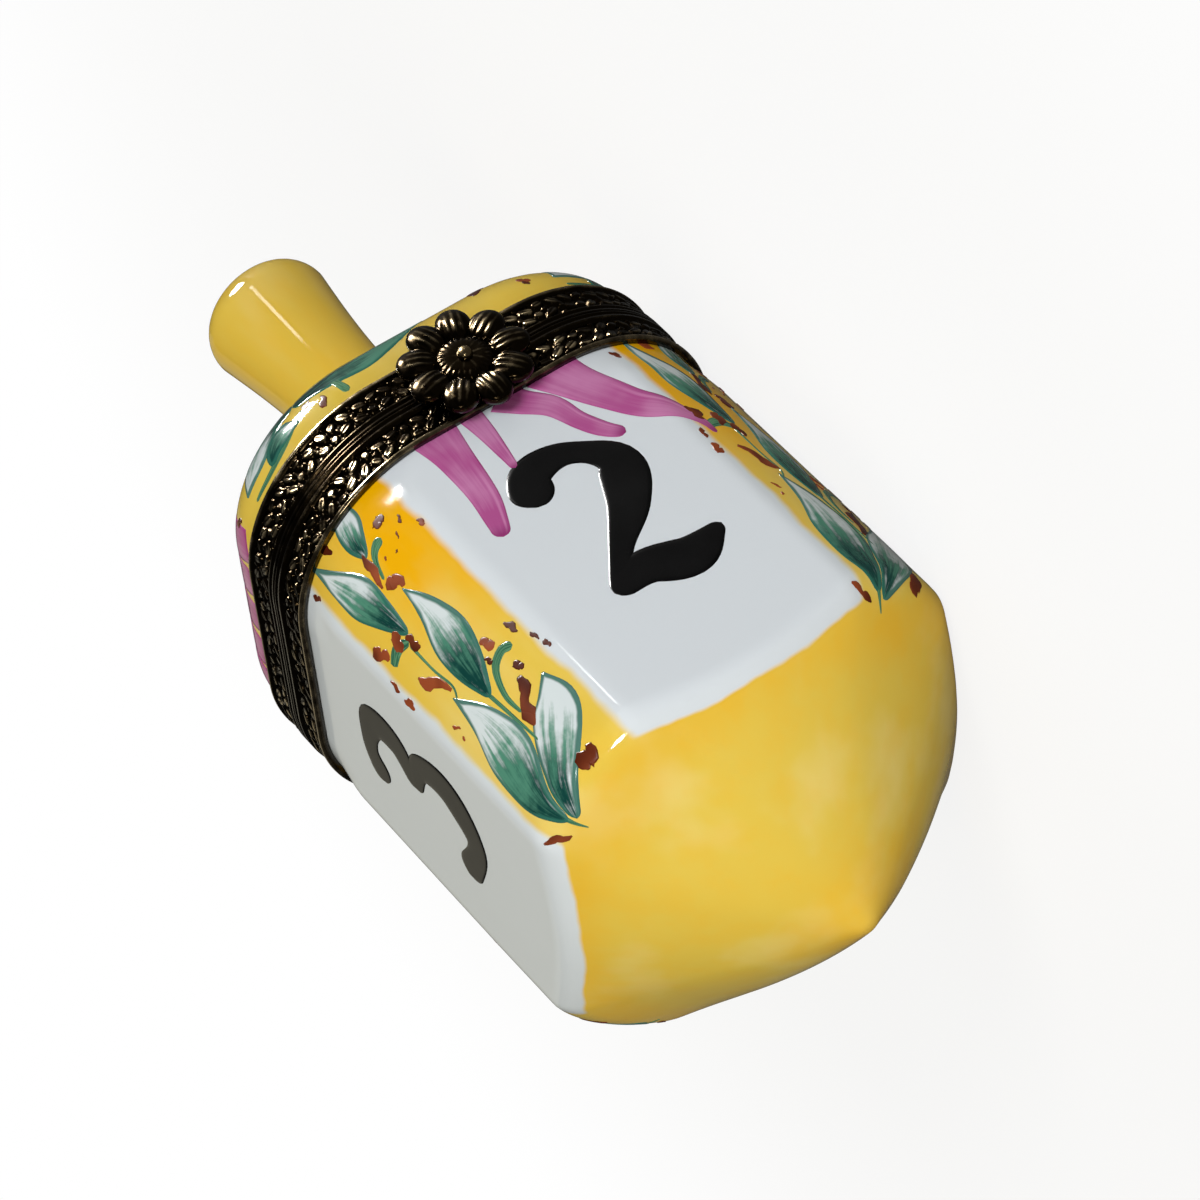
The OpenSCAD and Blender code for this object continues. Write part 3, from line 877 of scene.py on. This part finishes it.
def paintStroke(pot, surface, way, widths, startRound=0.0, endRound=0.0, lift=0.03, ragged=0.0, fill=0.0):
    lift += brush["layer"] * (pot["strokes"] % brush["layers"])  # later strokes lie over earlier ones
    fine = smoothWay(way, np.linspace(0, 1, 200))
    steps = np.concatenate(([0], np.cumsum(np.linalg.norm(np.diff(fine, axis=0), axis=1))))
    length = steps[-1]
    count = max(brush["least"], int(length / brush["step"]))
    share = (1 - np.cos(np.linspace(0, math.pi, count))) / 2
    share = 0.6 * share + 0.4 * np.linspace(0, 1, count)
    at = np.stack([np.interp(share * length, steps, fine[:, k]) for k in range(2)], -1)
    heading = np.gradient(at, axis=0)
    heading /= np.linalg.norm(heading, axis=1, keepdims=True) + 1e-9
    sideways = np.stack((-heading[:, 1], heading[:, 0]), -1)
    width = np.maximum(smoothWay(widths, share), brush["leastWidth"])
    width = width * (1 + ragged * np.sin(np.arange(count) * 2.3 + pot["strokes"] * 1.7))
    for rounding, distance in ((startRound, share * length), (endRound, (1 - share) * length)):
        if rounding:
            width = width * np.sqrt(1 - (1 - np.clip(distance / rounding, 0.002, 1)) ** 2)
    width = np.maximum(width, brush["leastEnd"])
    # cross-section: a low crown, with its edges and back sunk into the glaze
    edge, sink = brush["edge"], brush["sink"]
    across = np.concatenate(([-1], np.linspace(-edge, edge, brush["across"]), [1], [0.6, -0.6]))
    crown = lift * (1 - 0.5 * np.linspace(-1, 1, brush["across"]) ** 6)
    rise = np.concatenate(([-sink], crown, [-sink], [-sink * brush["deepSink"]] * 2))
    spots = at[:, None] + sideways[:, None] * (width[:, None] * across[None])[..., None]
    normals = surfaceNormal(surface, spots[..., 0], spots[..., 1])
    points = surface(spots[..., 0], spots[..., 1]) + normals * rise[None, :, None]
    ring = len(across)
    start = pot["count"]
    faces = wrapFaces(count, ring, start)
    faces.append(tuple(start + ring - 1 - k for k in range(ring)))
    faces.append(tuple(start + (count - 1) * ring + k for k in range(ring)))
    pot["points"].append(points.reshape(-1, 3))
    pot["faces"].extend(faces)
    pot["along"].append(np.repeat(share, ring))
    pot["side"].append(np.tile(across, count))
    pot["rim"].append((width[:, None] * (1 - np.abs(across))[None]).ravel())
    pot["seed"].append(np.full(count * ring, pot["strokes"] % brush["seeds"], float))
    pot["fill"].append(np.full(count * ring, fill))
    pot["count"] += count * ring
    pot["strokes"] += 1


dab = {
    "lift": 0.034, "ragged": 0.1, "bend": 0.4, "uneven": 0.3,
    "steps": (-1, -0.45, 0, 0.5, 1), "widths": (0.3, 1.0, 0.85, 0.95, 0.25),
}


def paintDab(pot, surface, spot, longHalf, wideHalf, degrees):
    # a chip of paint with uneven sides
    turn = math.radians(degrees)
    forward = np.array((math.cos(turn), math.sin(turn)))
    sideways = np.array((-math.sin(turn), math.cos(turn)))
    jag = [math.sin(pot["strokes"] * 7.3 + step * 4.1) for step in range(5)]
    way = [
        spot + forward * longHalf * share + sideways * wideHalf * dab["bend"] * sway
        for share, sway in zip(dab["steps"], jag)
    ]
    widths = [wideHalf * width * (1 + dab["uneven"] * sway) for width, sway in zip(dab["widths"], jag[::-1])]
    paintStroke(pot, surface, way, widths, lift=dab["lift"], ragged=dab["ragged"])


def layPaint(name, pot, material, body):
    marks = {key: np.concatenate(pot[key]) for key in strokeMarks}
    makePiece(name, np.concatenate(pot["points"]), pot["faces"], material, body, marks)


def paintMaterial(name, build, gloss, specular):
    material, tree, shader = newMaterial(name)
    streaks = placeGroup(tree, streakGroup, {"Hairs": brush["hairs"], "Length": brush["streakLength"]})
    fire(shader, build(tree, streaks), gloss, specular)
    return material


leafPaint = {
    "outline": rgb(48, 112, 98), "dark": rgb(14, 66, 62),
    "green": rgb(84, 146, 124), "pale": rgb(222, 232, 236),
    "mottleScale": 1500.0, "mottle": 0.55, "blotchScale": 480.0, "blotch": 0.9, "hairs": 0.5,
    # ramps along the leaf and in from its rim
    "thinning": (0.95, 0.15), "fromRim": (0.15, 0.8, -0.25, 0.15), "covering": (0.2, 0.95),
    "darkFoot": (0.62, 0.12), "darkUneven": 0.6, "sideHeavy": 0.25,
    "lineRamp": (0.44, 0.22, 0.0, 0.92), "lineUneven": 0.16, "lineSide": 0.09,
}


def leafColors(tree, streaks):
    along, side, rim = mark(tree, "along"), mark(tree, "side"), mark(tree, "rim")
    here = place(tree)
    mottle = minus(noise(here, leafPaint["mottleScale"], 3.0, 0.65), 0.5)
    blotch = minus(noise(here, leafPaint["blotchScale"], 2.0), 0.5)
    hairs = minus(streaks["Streak"], 0.5)
    uneven = added(times(mottle, leafPaint["mottle"]), hairs, leafPaint["hairs"])
    uneven = added(uneven, blotch, leafPaint["blotch"])
    # green lies heaviest at the foot and thins to white towards the tip
    heavy = plus(ramp(along, *leafPaint["thinning"]), ramp(rim, *leafPaint["fromRim"]))
    heavy = plus(heavy, mark(tree, "fill"))
    heavy = plus(added(heavy, side, leafPaint["sideHeavy"]), uneven)
    dark = ramp(added(along, uneven, leafPaint["darkUneven"]), *leafPaint["darkFoot"])
    paint = mixColor(dark, leafPaint["green"], leafPaint["dark"])
    paint = mixColor(ramp(heavy, *leafPaint["covering"]), leafPaint["pale"], paint)
    # an outline of uneven width, widest along one side
    line = added(rim, minus(streaks["Wash"], 0.5), leafPaint["lineUneven"])
    line = added(line, side, leafPaint["lineSide"])
    return mixColor(ramp(line, *leafPaint["lineRamp"]), paint, leafPaint["outline"])


stemPaint = {"dark": rgb(34, 92, 74), "light": rgb(104, 158, 118)}


def stemColors(tree, streaks):
    return mixColor(streaks["Streak"], stemPaint["dark"], stemPaint["light"])


roseInk = {
    "edge": rgb(146, 44, 112), "body": rgb(184, 86, 150), "pale": rgb(216, 146, 194),
    "washScale": 300.0, "streaks": 0.12, "thinning": (0.4, 0.85, 0.0, 0.75),
    # a pale line where the brush was dry, beside one edge
    "drySide": 0.58, "dryWidth": (0.17, 0.03, 0.0, 0.6), "dryStart": (0.25, 0.6),
    "darkStart": (0.1, 0.0, 0.0, 0.4), "darkEnd": (0.88, 1.0, 0.0, 0.9), "darkRim": (0.16, 0.02, 0.0, 0.5),
}


def roseColors(tree, streaks):
    along, rim = mark(tree, "along"), mark(tree, "rim")
    washes = noise(place(tree), roseInk["washScale"], 2.0, 0.4)
    thin = added(washes, streaks["Streak"], roseInk["streaks"])
    paint = mixColor(ramp(thin, *roseInk["thinning"]), roseInk["body"], roseInk["pale"])
    fromDry = calc("ABSOLUTE", minus(mark(tree, "side"), roseInk["drySide"]))
    dry = times(ramp(fromDry, *roseInk["dryWidth"]), ramp(along, *roseInk["dryStart"]))
    paint = mixColor(dry, paint, roseInk["pale"])
    darkEnds = plus(ramp(along, *roseInk["darkStart"]), ramp(along, *roseInk["darkEnd"]))
    edge = ramp(rim, *roseInk["darkRim"])
    return mixColor(calc("MAXIMUM", darkEnds, edge), paint, roseInk["edge"])


umber = {
    "dark": rgb(84, 32, 16), "light": rgb(158, 76, 42), "washScale": 420.0,
    "middleSeed": 8.0, "seedShare": 0.025, "thinning": (0.3, 0.75),
}


def umberColors(tree, streaks):
    wash = noise(place(tree), umber["washScale"], 1.0)
    seed = minus(mark(tree, "seed"), umber["middleSeed"])
    thin = ramp(added(wash, seed, umber["seedShare"]), *umber["thinning"])
    return mixColor(thin, umber["dark"], umber["light"])


blackInk = {"body": rgb(4, 4, 5), "thin": rgb(13, 13, 14), "washes": 0.5}


def blackColors(tree, streaks):
    thin = times(streaks["Wash"], blackInk["washes"])
    return mixColor(thin, blackInk["body"], blackInk["thin"])


# colours, gloss and specular level of each paint
leafMaterial = paintMaterial("leafPaint", leafColors, 0.1, 0.4)
stemMaterial = paintMaterial("stalkPaint", stemColors, 0.1, 0.4)
roseMaterial = paintMaterial("rosePaint", roseColors, 0.09, 0.4)
umberMaterial = paintMaterial("umberPaint", umberColors, 0.25, 0.2)
blackMaterial = paintMaterial("blackPaint", blackColors, 0.22, 0.22)

# one sprig: millimetres from a corner's middle line towards the upper face, millimetres below the joint
# leaves: way, half widths, extra green; stalks: way, half widths; dabs: place, half length, half width, slant
sprig = {
    "leaves": [
        (((-0.3, 6.9), (-0.45, 5.2), (-0.85, 3.8), (-1.25, 2.2)), (0.25, 0.95, 1.15, 0.55), 0.05),
        (((1.35, 13.2), (1.75, 10.5), (2.25, 7.5), (2.95, 5.0), (3.45, 3.0)),
         (0.25, 1.05, 1.55, 0.9, 0.12), 0.0),
        (((0.2, 21.7), (-0.3, 18.5), (-0.85, 15.0), (-0.9, 12.8), (-0.6, 10.8)),
         (0.25, 1.3, 1.65, 0.95, 0.05), 0.12),
        (((2.95, 31.4), (2.85, 28.5), (2.1, 25.4), (1.8, 22.2), (2.25, 19.1)),
         (0.3, 1.5, 2.05, 1.2, 0.05), 0.0),
        (((2.5, 31.7), (0.6, 29.7), (-1.4, 27.6), (-2.75, 25.9), (-3.45, 23.8)),
         (0.3, 1.15, 1.85, 1.75, 0.1), -0.1),
    ],
    "stalks": [
        (((-0.6, 24.4), (-0.6, 22.6), (-1.35, 20.8), (-2.5, 20.2), (-3.3, 20.6)),
         (0.12, 0.2, 0.26, 0.36, 0.38)),
        (((-0.1, 9.1), (-0.6, 7.6), (-1.2, 7.0), (-1.95, 6.85)), (0.12, 0.18, 0.32, 0.5)),
        (((3.95, 13.3), (2.75, 13.0), (1.75, 13.6)), (0.36, 0.5, 0.28)),
        (((1.85, 13.8), (1.85, 16.6), (1.65, 18.6), (2.2, 19.6)), (0.14, 0.1, 0.1, 0.08)),
        (((0.2, 21.4), (0.0, 24.4), (-0.15, 27.0)), (0.16, 0.13, 0.1)),
        (((2.9, 31.2), (2.9, 31.8), (2.8, 32.5)), (0.2, 0.12, 0.05)),
    ],
    "dabs": [
        (1.85, 2.9, 1.2, 0.45, 119), (3.5, 2.7, 0.5, 0.25, 100), (5.05, 4.2, 0.5, 0.22, 113),
        (-2.55, 5.8, 0.5, 0.38, 35), (-3.75, 7.05, 0.35, 0.12, 70), (-4.65, 8.5, 0.36, 0.2, 100),
        (0.05, 7.9, 1.55, 0.34, 79), (-0.65, 10.0, 0.75, 0.5, 115), (4.05, 11.85, 0.85, 0.45, 105),
        (2.45, 12.7, 0.8, 0.45, 70), (1.55, 13.9, 0.75, 0.34, 95), (5.05, 14.05, 0.55, 0.18, 80),
        (5.2, 15.8, 0.6, 0.3, 95), (2.5, 17.15, 1.6, 0.42, 117), (3.65, 20.4, 0.4, 0.12, 120),
        (3.85, 21.35, 0.18, 0.1, 60), (-2.15, 19.0, 0.58, 0.36, 120), (-1.45, 19.9, 0.34, 0.2, 110),
        (-4.05, 19.55, 0.65, 0.26, 100), (-4.75, 21.4, 0.45, 0.15, 100), (-5.0, 22.5, 0.35, 0.18, 90),
        (-2.6, 22.0, 0.45, 0.28, 100), (-1.35, 24.2, 1.8, 0.5, 62), (-1.65, 30.4, 0.78, 0.58, 20),
        (4.6, 31.3, 0.95, 0.25, 139), (-2.1, 8.6, 0.14, 0.07, 20), (-2.9, 7.8, 0.3, 0.07, 70),
        (-1.2, 8.2, 0.16, 0.08, 50),
    ],
}


def paintSprig(pots, surface, plants, middle, further):
    # one sprig, moved round the box and away from the joint, clear of the collar
    leaves, stalks, dabs = pots
    for way, widths in plants["stalks"]:
        moved = [(middle + x, y + further) for x, y in way]
        paintStroke(stalks, surface, moved, widths, 0.1, max(widths[-1], 0.1), lifts["stalk"])
    for way, widths, fill in plants["leaves"]:
        moved = [(middle + x, max(y + further, 2.0)) for x, y in way]
        paintStroke(leaves, surface, moved, widths, 0.5, fill=fill)
    for x, y, longHalf, wideHalf, degrees in plants["dabs"]:
        paintDab(dabs, surface, np.array((middle + x, y + further)), longHalf, wideHalf, degrees)


def paintCorners():
    pots = newPot(), newPot(), newPot()
    for corner in range(4):
        shift = 0.25 * math.sin(corner * 2.1)
        paintSprig(pots, basePoint, sprig, halfFace * (2 * corner + 1) + shift, shift)
    layPaint("base_leaf_paint", pots[0], leafMaterial, "base")
    layPaint("base_stalk_paint", pots[1], stemMaterial, "base")
    layPaint("base_umber_dabs", pots[2], umberMaterial, "base")


# tapered strokes that hang from the collar on the clasp face
roseStrokes = [
    (((4.95, 2.6), (5.0, 6.0), (5.35, 9.5), (6.0, 12.0), (6.45, 13.4)), (1.9, 1.4, 1.15, 0.95, 0.6)),
    (((2.0, 2.6), (2.0, 5.0), (2.15, 7.3), (2.3, 8.9)), (0.98, 0.75, 0.52, 0.28)),
    (((-0.5, 2.8), (-1.5, 4.2), (-2.85, 5.8), (-3.5, 8.0), (-4.3, 9.7), (-5.3, 10.9)),
     (1.5, 1.15, 1.0, 0.8, 0.74, 0.5)),
    (((-4.6, 2.6), (-5.6, 5.4), (-6.6, 7.6), (-7.6, 9.4), (-9.1, 11.0), (-10.3, 12.8), (-10.5, 14.2)),
     (2.2, 1.75, 1.5, 1.3, 1.1, 0.6, 0.2)),
]


def paintRose():
    pot = newPot()
    for way, widths in roseStrokes:
        paintStroke(pot, basePoint, way, widths, 0.0, widths[-1], lifts["rose"])
    layPaint("base_rose_strokes", pot, roseMaterial, "base")


# plain numbers, one on each face: (right, up) from the panel's middle, as shares of the height
numberSize = {"height": 14.6, "middle": 16.2, "shift": 0.4}
numbers = {
    1: [
        (((-0.2, 0.3), (-0.04, 0.38), (0.06, 0.47)), (0.03, 0.075, 0.1)),
        (((0.08, 0.47), (0.04, 0.1), (0.02, -0.2), (0.05, -0.44)), (0.11, 0.085, 0.09, 0.11)),
        (((-0.24, -0.43), (-0.02, -0.46), (0.28, -0.42)), (0.06, 0.07, 0.05)),
    ],
    2: [
        (((-0.25, 0.24), (-0.16, 0.42), (0.04, 0.43), (0.2, 0.26), (0.1, 0.02), (-0.1, -0.2), (-0.25, -0.4)),
         (0.12, 0.1, 0.07, 0.12, 0.1, 0.06, 0.05)),
        (((-0.28, -0.4), (-0.08, -0.36), (0.12, -0.43), (0.34, -0.36)), (0.06, 0.11, 0.12, 0.03)),
    ],
    3: [
        (((-0.25, 0.34), (-0.08, 0.45), (0.14, 0.4), (0.16, 0.2), (-0.02, 0.06)),
         (0.11, 0.07, 0.1, 0.1, 0.05)),
        (((-0.02, 0.06), (0.18, 0.0), (0.22, -0.24), (0.02, -0.43), (-0.26, -0.33)),
         (0.05, 0.09, 0.12, 0.08, 0.1)),
    ],
    4: [
        (((0.06, 0.46), (-0.1, 0.2), (-0.3, -0.1)), (0.06, 0.07, 0.08)),
        (((-0.33, -0.12), (-0.02, -0.15), (0.34, -0.1)), (0.07, 0.085, 0.06)),
        (((0.13, 0.24), (0.1, -0.1), (0.12, -0.46)), (0.11, 0.09, 0.1)),
    ],
}


def paintNumbers():
    pot = newPot()
    size = numberSize["height"]
    for side, number in enumerate((2, 3, 4, 1)):
        middle = 2 * halfFace * side - numberSize["shift"]
        for way, widths in numbers[number]:
            moved = [(middle - x * size, numberSize["middle"] - y * size) for x, y in way]
            scaled = [width * size for width in widths]
            paintStroke(pot, basePoint, moved, scaled, scaled[0], scaled[-1], lifts["number"])
    layPaint("base_black_numbers", pot, blackMaterial, "base")


# leaves and rose petals round the lid, by millimetres round it and millimetres above the joint
lidSprig = {
    "leaves": [
        (((10.8, 6.8), (8.2, 7.2), (4.6, 7.4), (1.6, 7.6), (-1.4, 8.1)), (0.6, 1.8, 2.3, 1.5, 0.1), 0.8),
        (((10.8, 7.0), (12.8, 7.4), (15.0, 7.0), (17.8, 5.2)), (0.5, 1.6, 1.7, 0.1), 0.0),
        (((14.6, 4.4), (13.6, 5.2), (12.4, 5.4), (11.0, 5.0)), (0.3, 0.8, 0.8, 0.1), 0.5),
    ],
    "stalks": [
        (((17.4, 4.2), (15.0, 4.2), (12.6, 4.6), (10.4, 5.6)), (0.12, 0.2, 0.22, 0.12)),
        (((8.2, 7.0), (7.4, 5.8), (7.0, 4.2)), (0.4, 0.3, 0.34)),
    ],
    "dabs": [
        (9.9, 5.7, 0.4, 0.24, 170), (8.8, 4.8, 0.5, 0.28, 110), (-6.2, 7.8, 1.5, 0.42, 134),
        (-8.6, 5.2, 0.3, 0.16, 60), (20.2, 5.6, 0.5, 0.26, 40),
    ],
}
# petals side by side on two faces, a little closer together towards the stem
lidPetals = {
    "middle": 28.9, "apart": (-7.4, -3.8, 0.0, 3.8, 7.2),
    "closer": (1.0, 0.9, 0.8), "up": (4.2, 7.0, 9.6), "widths": (1.5, 1.7, 0.9),
}


def paintLid():
    pots, petals = (newPot(), newPot(), newPot()), newPot()
    # less of the sprig where its face holds petals as well
    part = {
        "stalks": lidSprig["stalks"][:1], "leaves": lidSprig["leaves"][1:],
        "dabs": [row for row in lidSprig["dabs"] if row[0] > 0],
    }
    for corner in range(4):
        paintSprig(pots, lidPoint, part if corner % 2 else lidSprig, 2 * halfFace * corner, 0.0)
    widths = lidPetals["widths"]
    for side in (0, 2):
        middle = lidPetals["middle"] + 2 * halfFace * side
        for x in lidPetals["apart"]:
            way = [(middle + x * closer, up) for closer, up in zip(lidPetals["closer"], lidPetals["up"])]
            paintStroke(petals, lidPoint, way, widths, 0.0, widths[-1], lifts["rose"])
    layPaint("lid_leaf_paint", pots[0], leafMaterial, "lid")
    layPaint("lid_stalk_paint", pots[1], stemMaterial, "lid")
    layPaint("lid_umber_dabs", pots[2], umberMaterial, "lid")
    layPaint("lid_rose_petals", petals, roseMaterial, "lid")


paintCorners()
paintRose()
paintNumbers()
paintLid()
print("painted")


# small parts that keep their imported shapes
cementLook = {
    "grey": rgb(205, 203, 196), "dark": rgb(166, 160, 150), "gritScale": 5200.0, "gritDepth": 0.00002,
}
cement, tree, shader = newMaterial("rimCement")
grit = noise(place(tree), cementLook["gritScale"], 4.0, 0.7)
setInputs(shader, {
    "Base Color": mixColor(ramp(grit, 0.35, 0.65), cementLook["dark"], cementLook["grey"]),
    "Roughness": ramp(grit, 0.3, 0.7, 0.6, 0.9), "Normal": bumped(grit, 0.5, cementLook["gritDepth"]),
})
finishes = {
    "base_cement": cement, "lid_cement": cement,
    "clasp_tongue": collarBrass, "clasp_rivet": rivetBrass, "catch_bead": hingeBrass, "hinge_pin": hingeBrass,
    "base_knuckle_left": hingeBrass, "base_knuckle_middle": hingeBrass, "base_knuckle_right": hingeBrass,
    "lid_knuckle_left": hingeBrass, "lid_knuckle_right": hingeBrass,
}
for name, material in finishes.items():
    for holder in frame["nodes"][name].material_slots:
        holder.material = material
print("small parts finished")


# floor, lights and camera
stageLook = {
    "floorSize": 3.0, "floorRoughness": 0.9, "floorSpecular": 0.1, "mottleScale": 30.0, "mottle": (0.97, 1.0),
    "floorSeen": rgb(246, 246, 245), "floorBounce": rgb(158, 155, 148), "floorMirrored": rgb(48, 46, 43),
    "seenShare": 0.85, "shadowReach": 0.045, "whiteReach": 0.16, "reflectedShare": 0.06,
    "world": 0.14, "worldReflected": 0.05,
}


def makeFloor():
    reach = stageLook["floorSize"]
    mesh = bpy.data.meshes.new("floor")
    corners = [(-reach, -reach, 0), (reach, -reach, 0), (reach, reach, 0), (-reach, reach, 0)]
    mesh.from_pydata(corners, [], [(0, 1, 2, 3)])
    floor = bpy.data.objects.new("floor", mesh)
    bpy.context.scene.collection.objects.link(floor)
    material, tree, shader = newMaterial("paleFloor")
    path = addNode(tree, "ShaderNodeLightPath")
    mottle = noise(place(tree), stageLook["mottleScale"], 2.0)
    mottle = times(path.outputs["Is Camera Ray"], ramp(mottle, 0.3, 0.7, *stageLook["mottle"]))
    paper = mixColor(mottle, stageLook["floorBounce"], stageLook["floorSeen"])
    paper = mixColor(path.outputs["Is Glossy Ray"], paper, stageLook["floorMirrored"])
    setInputs(shader, {
        "Base Color": paper, "Roughness": stageLook["floorRoughness"],
        "Specular IOR Level": stageLook["floorSpecular"],
    })
    glow = addNode(tree, "ShaderNodeEmission")
    # the floor is white away from the object and takes its shadow near it
    away = addNode(tree, "ShaderNodeVectorMath", {0: place(tree)}, operation="LENGTH").outputs["Value"]
    away = ramp(away, stageLook["shadowReach"], stageLook["whiteReach"], stageLook["seenShare"], 1.0)
    seen = times(path.outputs["Is Camera Ray"], away)
    mirrored = calc("MAXIMUM", path.outputs["Is Glossy Ray"], path.outputs["Is Transmission Ray"])
    share = calc("MAXIMUM", seen, times(mirrored, stageLook["reflectedShare"]))
    blend = addNode(tree, "ShaderNodeMixShader", {0: share, 1: shader.outputs[0], 2: glow.outputs[0]})
    setInputs(tree.nodes["Material Output"], {"Surface": blend.outputs[0]})
    mesh.materials.append(material)


def makeWorld():
    world = bpy.data.worlds.new("studio")
    bpy.context.scene.world = world
    world.use_nodes = True
    tree = world.node_tree
    path = addNode(tree, "ShaderNodeLightPath")
    mirrored = calc("MAXIMUM", path.outputs["Is Glossy Ray"], path.outputs["Is Transmission Ray"])
    level = ramp(mirrored, 0.0, 1.0, stageLook["world"], stageLook["worldReflected"])
    level = calc("MAXIMUM", path.outputs["Is Camera Ray"], level)
    setInputs(tree.nodes["Background"], {"Strength": level, "Color": (1, 1, 1, 1)})


# each lamp: way from the object, distance, size, power, tint, lights the surfaces, is mirrored in them
lamps = {
    "keyBox": ((-0.14, -0.88, 0.45), 0.55, 0.2, 1.54, (1.0, 1.0, 1.0), True, False),
    "spotBox": ((-0.70, -0.45, 0.48), 0.55, 0.05, 0.5, (1.0, 1.0, 1.0), False, True),
    "glintBox": ((0.85, -0.43, 0.25), 0.6, 0.17, 18.0, (1.0, 0.99, 0.97), False, True),
    "foldBox": ((0.47, -0.87, 0.15), 0.6, 0.05, 0.07, (1.0, 1.0, 1.0), False, True),
    "rearCard": ((0.57, 0.75, 0.33), 0.8, 0.5, 0.28, (1.0, 0.93, 0.7), True, True),
    "lowFill": ((-0.92, -0.38, 0.08), 0.55, 0.12, 0.76, (1.0, 1.0, 1.0), True, False),
    "tipFill": ((-0.80, 0.05, 0.60), 0.6, 0.25, 0.58, (1.0, 0.96, 0.8), True, False),
    "stemFill": ((0.90, -0.20, 0.40), 0.6, 0.3, 0.6, (1.0, 0.98, 0.86), True, False),
    "backFill": ((0.20, 0.95, 0.30), 0.8, 0.5, 0.85, (1.0, 0.95, 0.84), True, False),
    "topFill": ((-0.30, 0.0, 0.95), 0.7, 0.4, 0.55, (1.0, 0.91, 0.56), True, False),
}


def makeLamps():
    for name, (way, distance, size, power, tint, lights, mirrored) in lamps.items():
        light = bpy.data.lights.new(name, "AREA")
        light.size = size
        light.energy = power
        light.color = tint
        lamp = bpy.data.objects.new(name, light)
        lamp.visible_diffuse, lamp.visible_glossy = lights, mirrored
        direction = Vector(way).normalized()
        lamp.location = Vector(jointMiddle) + direction * distance
        lamp.rotation_euler = direction.to_track_quat("Z", "Y").to_euler()
        bpy.context.scene.collection.objects.link(lamp)


cameraView = {
    "aim": (-0.00796, -0.00698, 0.01726), "azimuth": 37.324, "elevation": 19.312, "roll": -119.386,
    "distance": 0.33, "lens": 147.12, "sensor": 36.0, "clipStart": 0.01,
}


def makeCamera():
    azimuth, elevation, roll = (math.radians(cameraView[key]) for key in ("azimuth", "elevation", "roll"))
    ahead = math.cos(elevation)
    forward = Vector((math.sin(azimuth) * ahead, math.cos(azimuth) * ahead, -math.sin(elevation)))
    level = forward.cross(Vector((0, 0, 1))).normalized()
    rise = level.cross(forward)
    right = level * math.cos(roll) + rise * math.sin(roll)
    up = right.cross(forward)
    data = bpy.data.cameras.new("photoView")
    data.lens = cameraView["lens"]
    data.sensor_width = cameraView["sensor"]
    data.clip_start = cameraView["clipStart"]
    camera = bpy.data.objects.new("photoView", data)
    turn = Matrix((right, up, -forward)).transposed().to_4x4()
    stand = Vector(cameraView["aim"]) - forward * cameraView["distance"]
    camera.matrix_world = Matrix.Translation(stand) @ turn
    bpy.context.scene.collection.objects.link(camera)
    bpy.context.scene.camera = camera


makeFloor()
makeWorld()
makeLamps()
makeCamera()
bpy.context.scene.view_settings.view_transform = "Standard"
print("stage set")
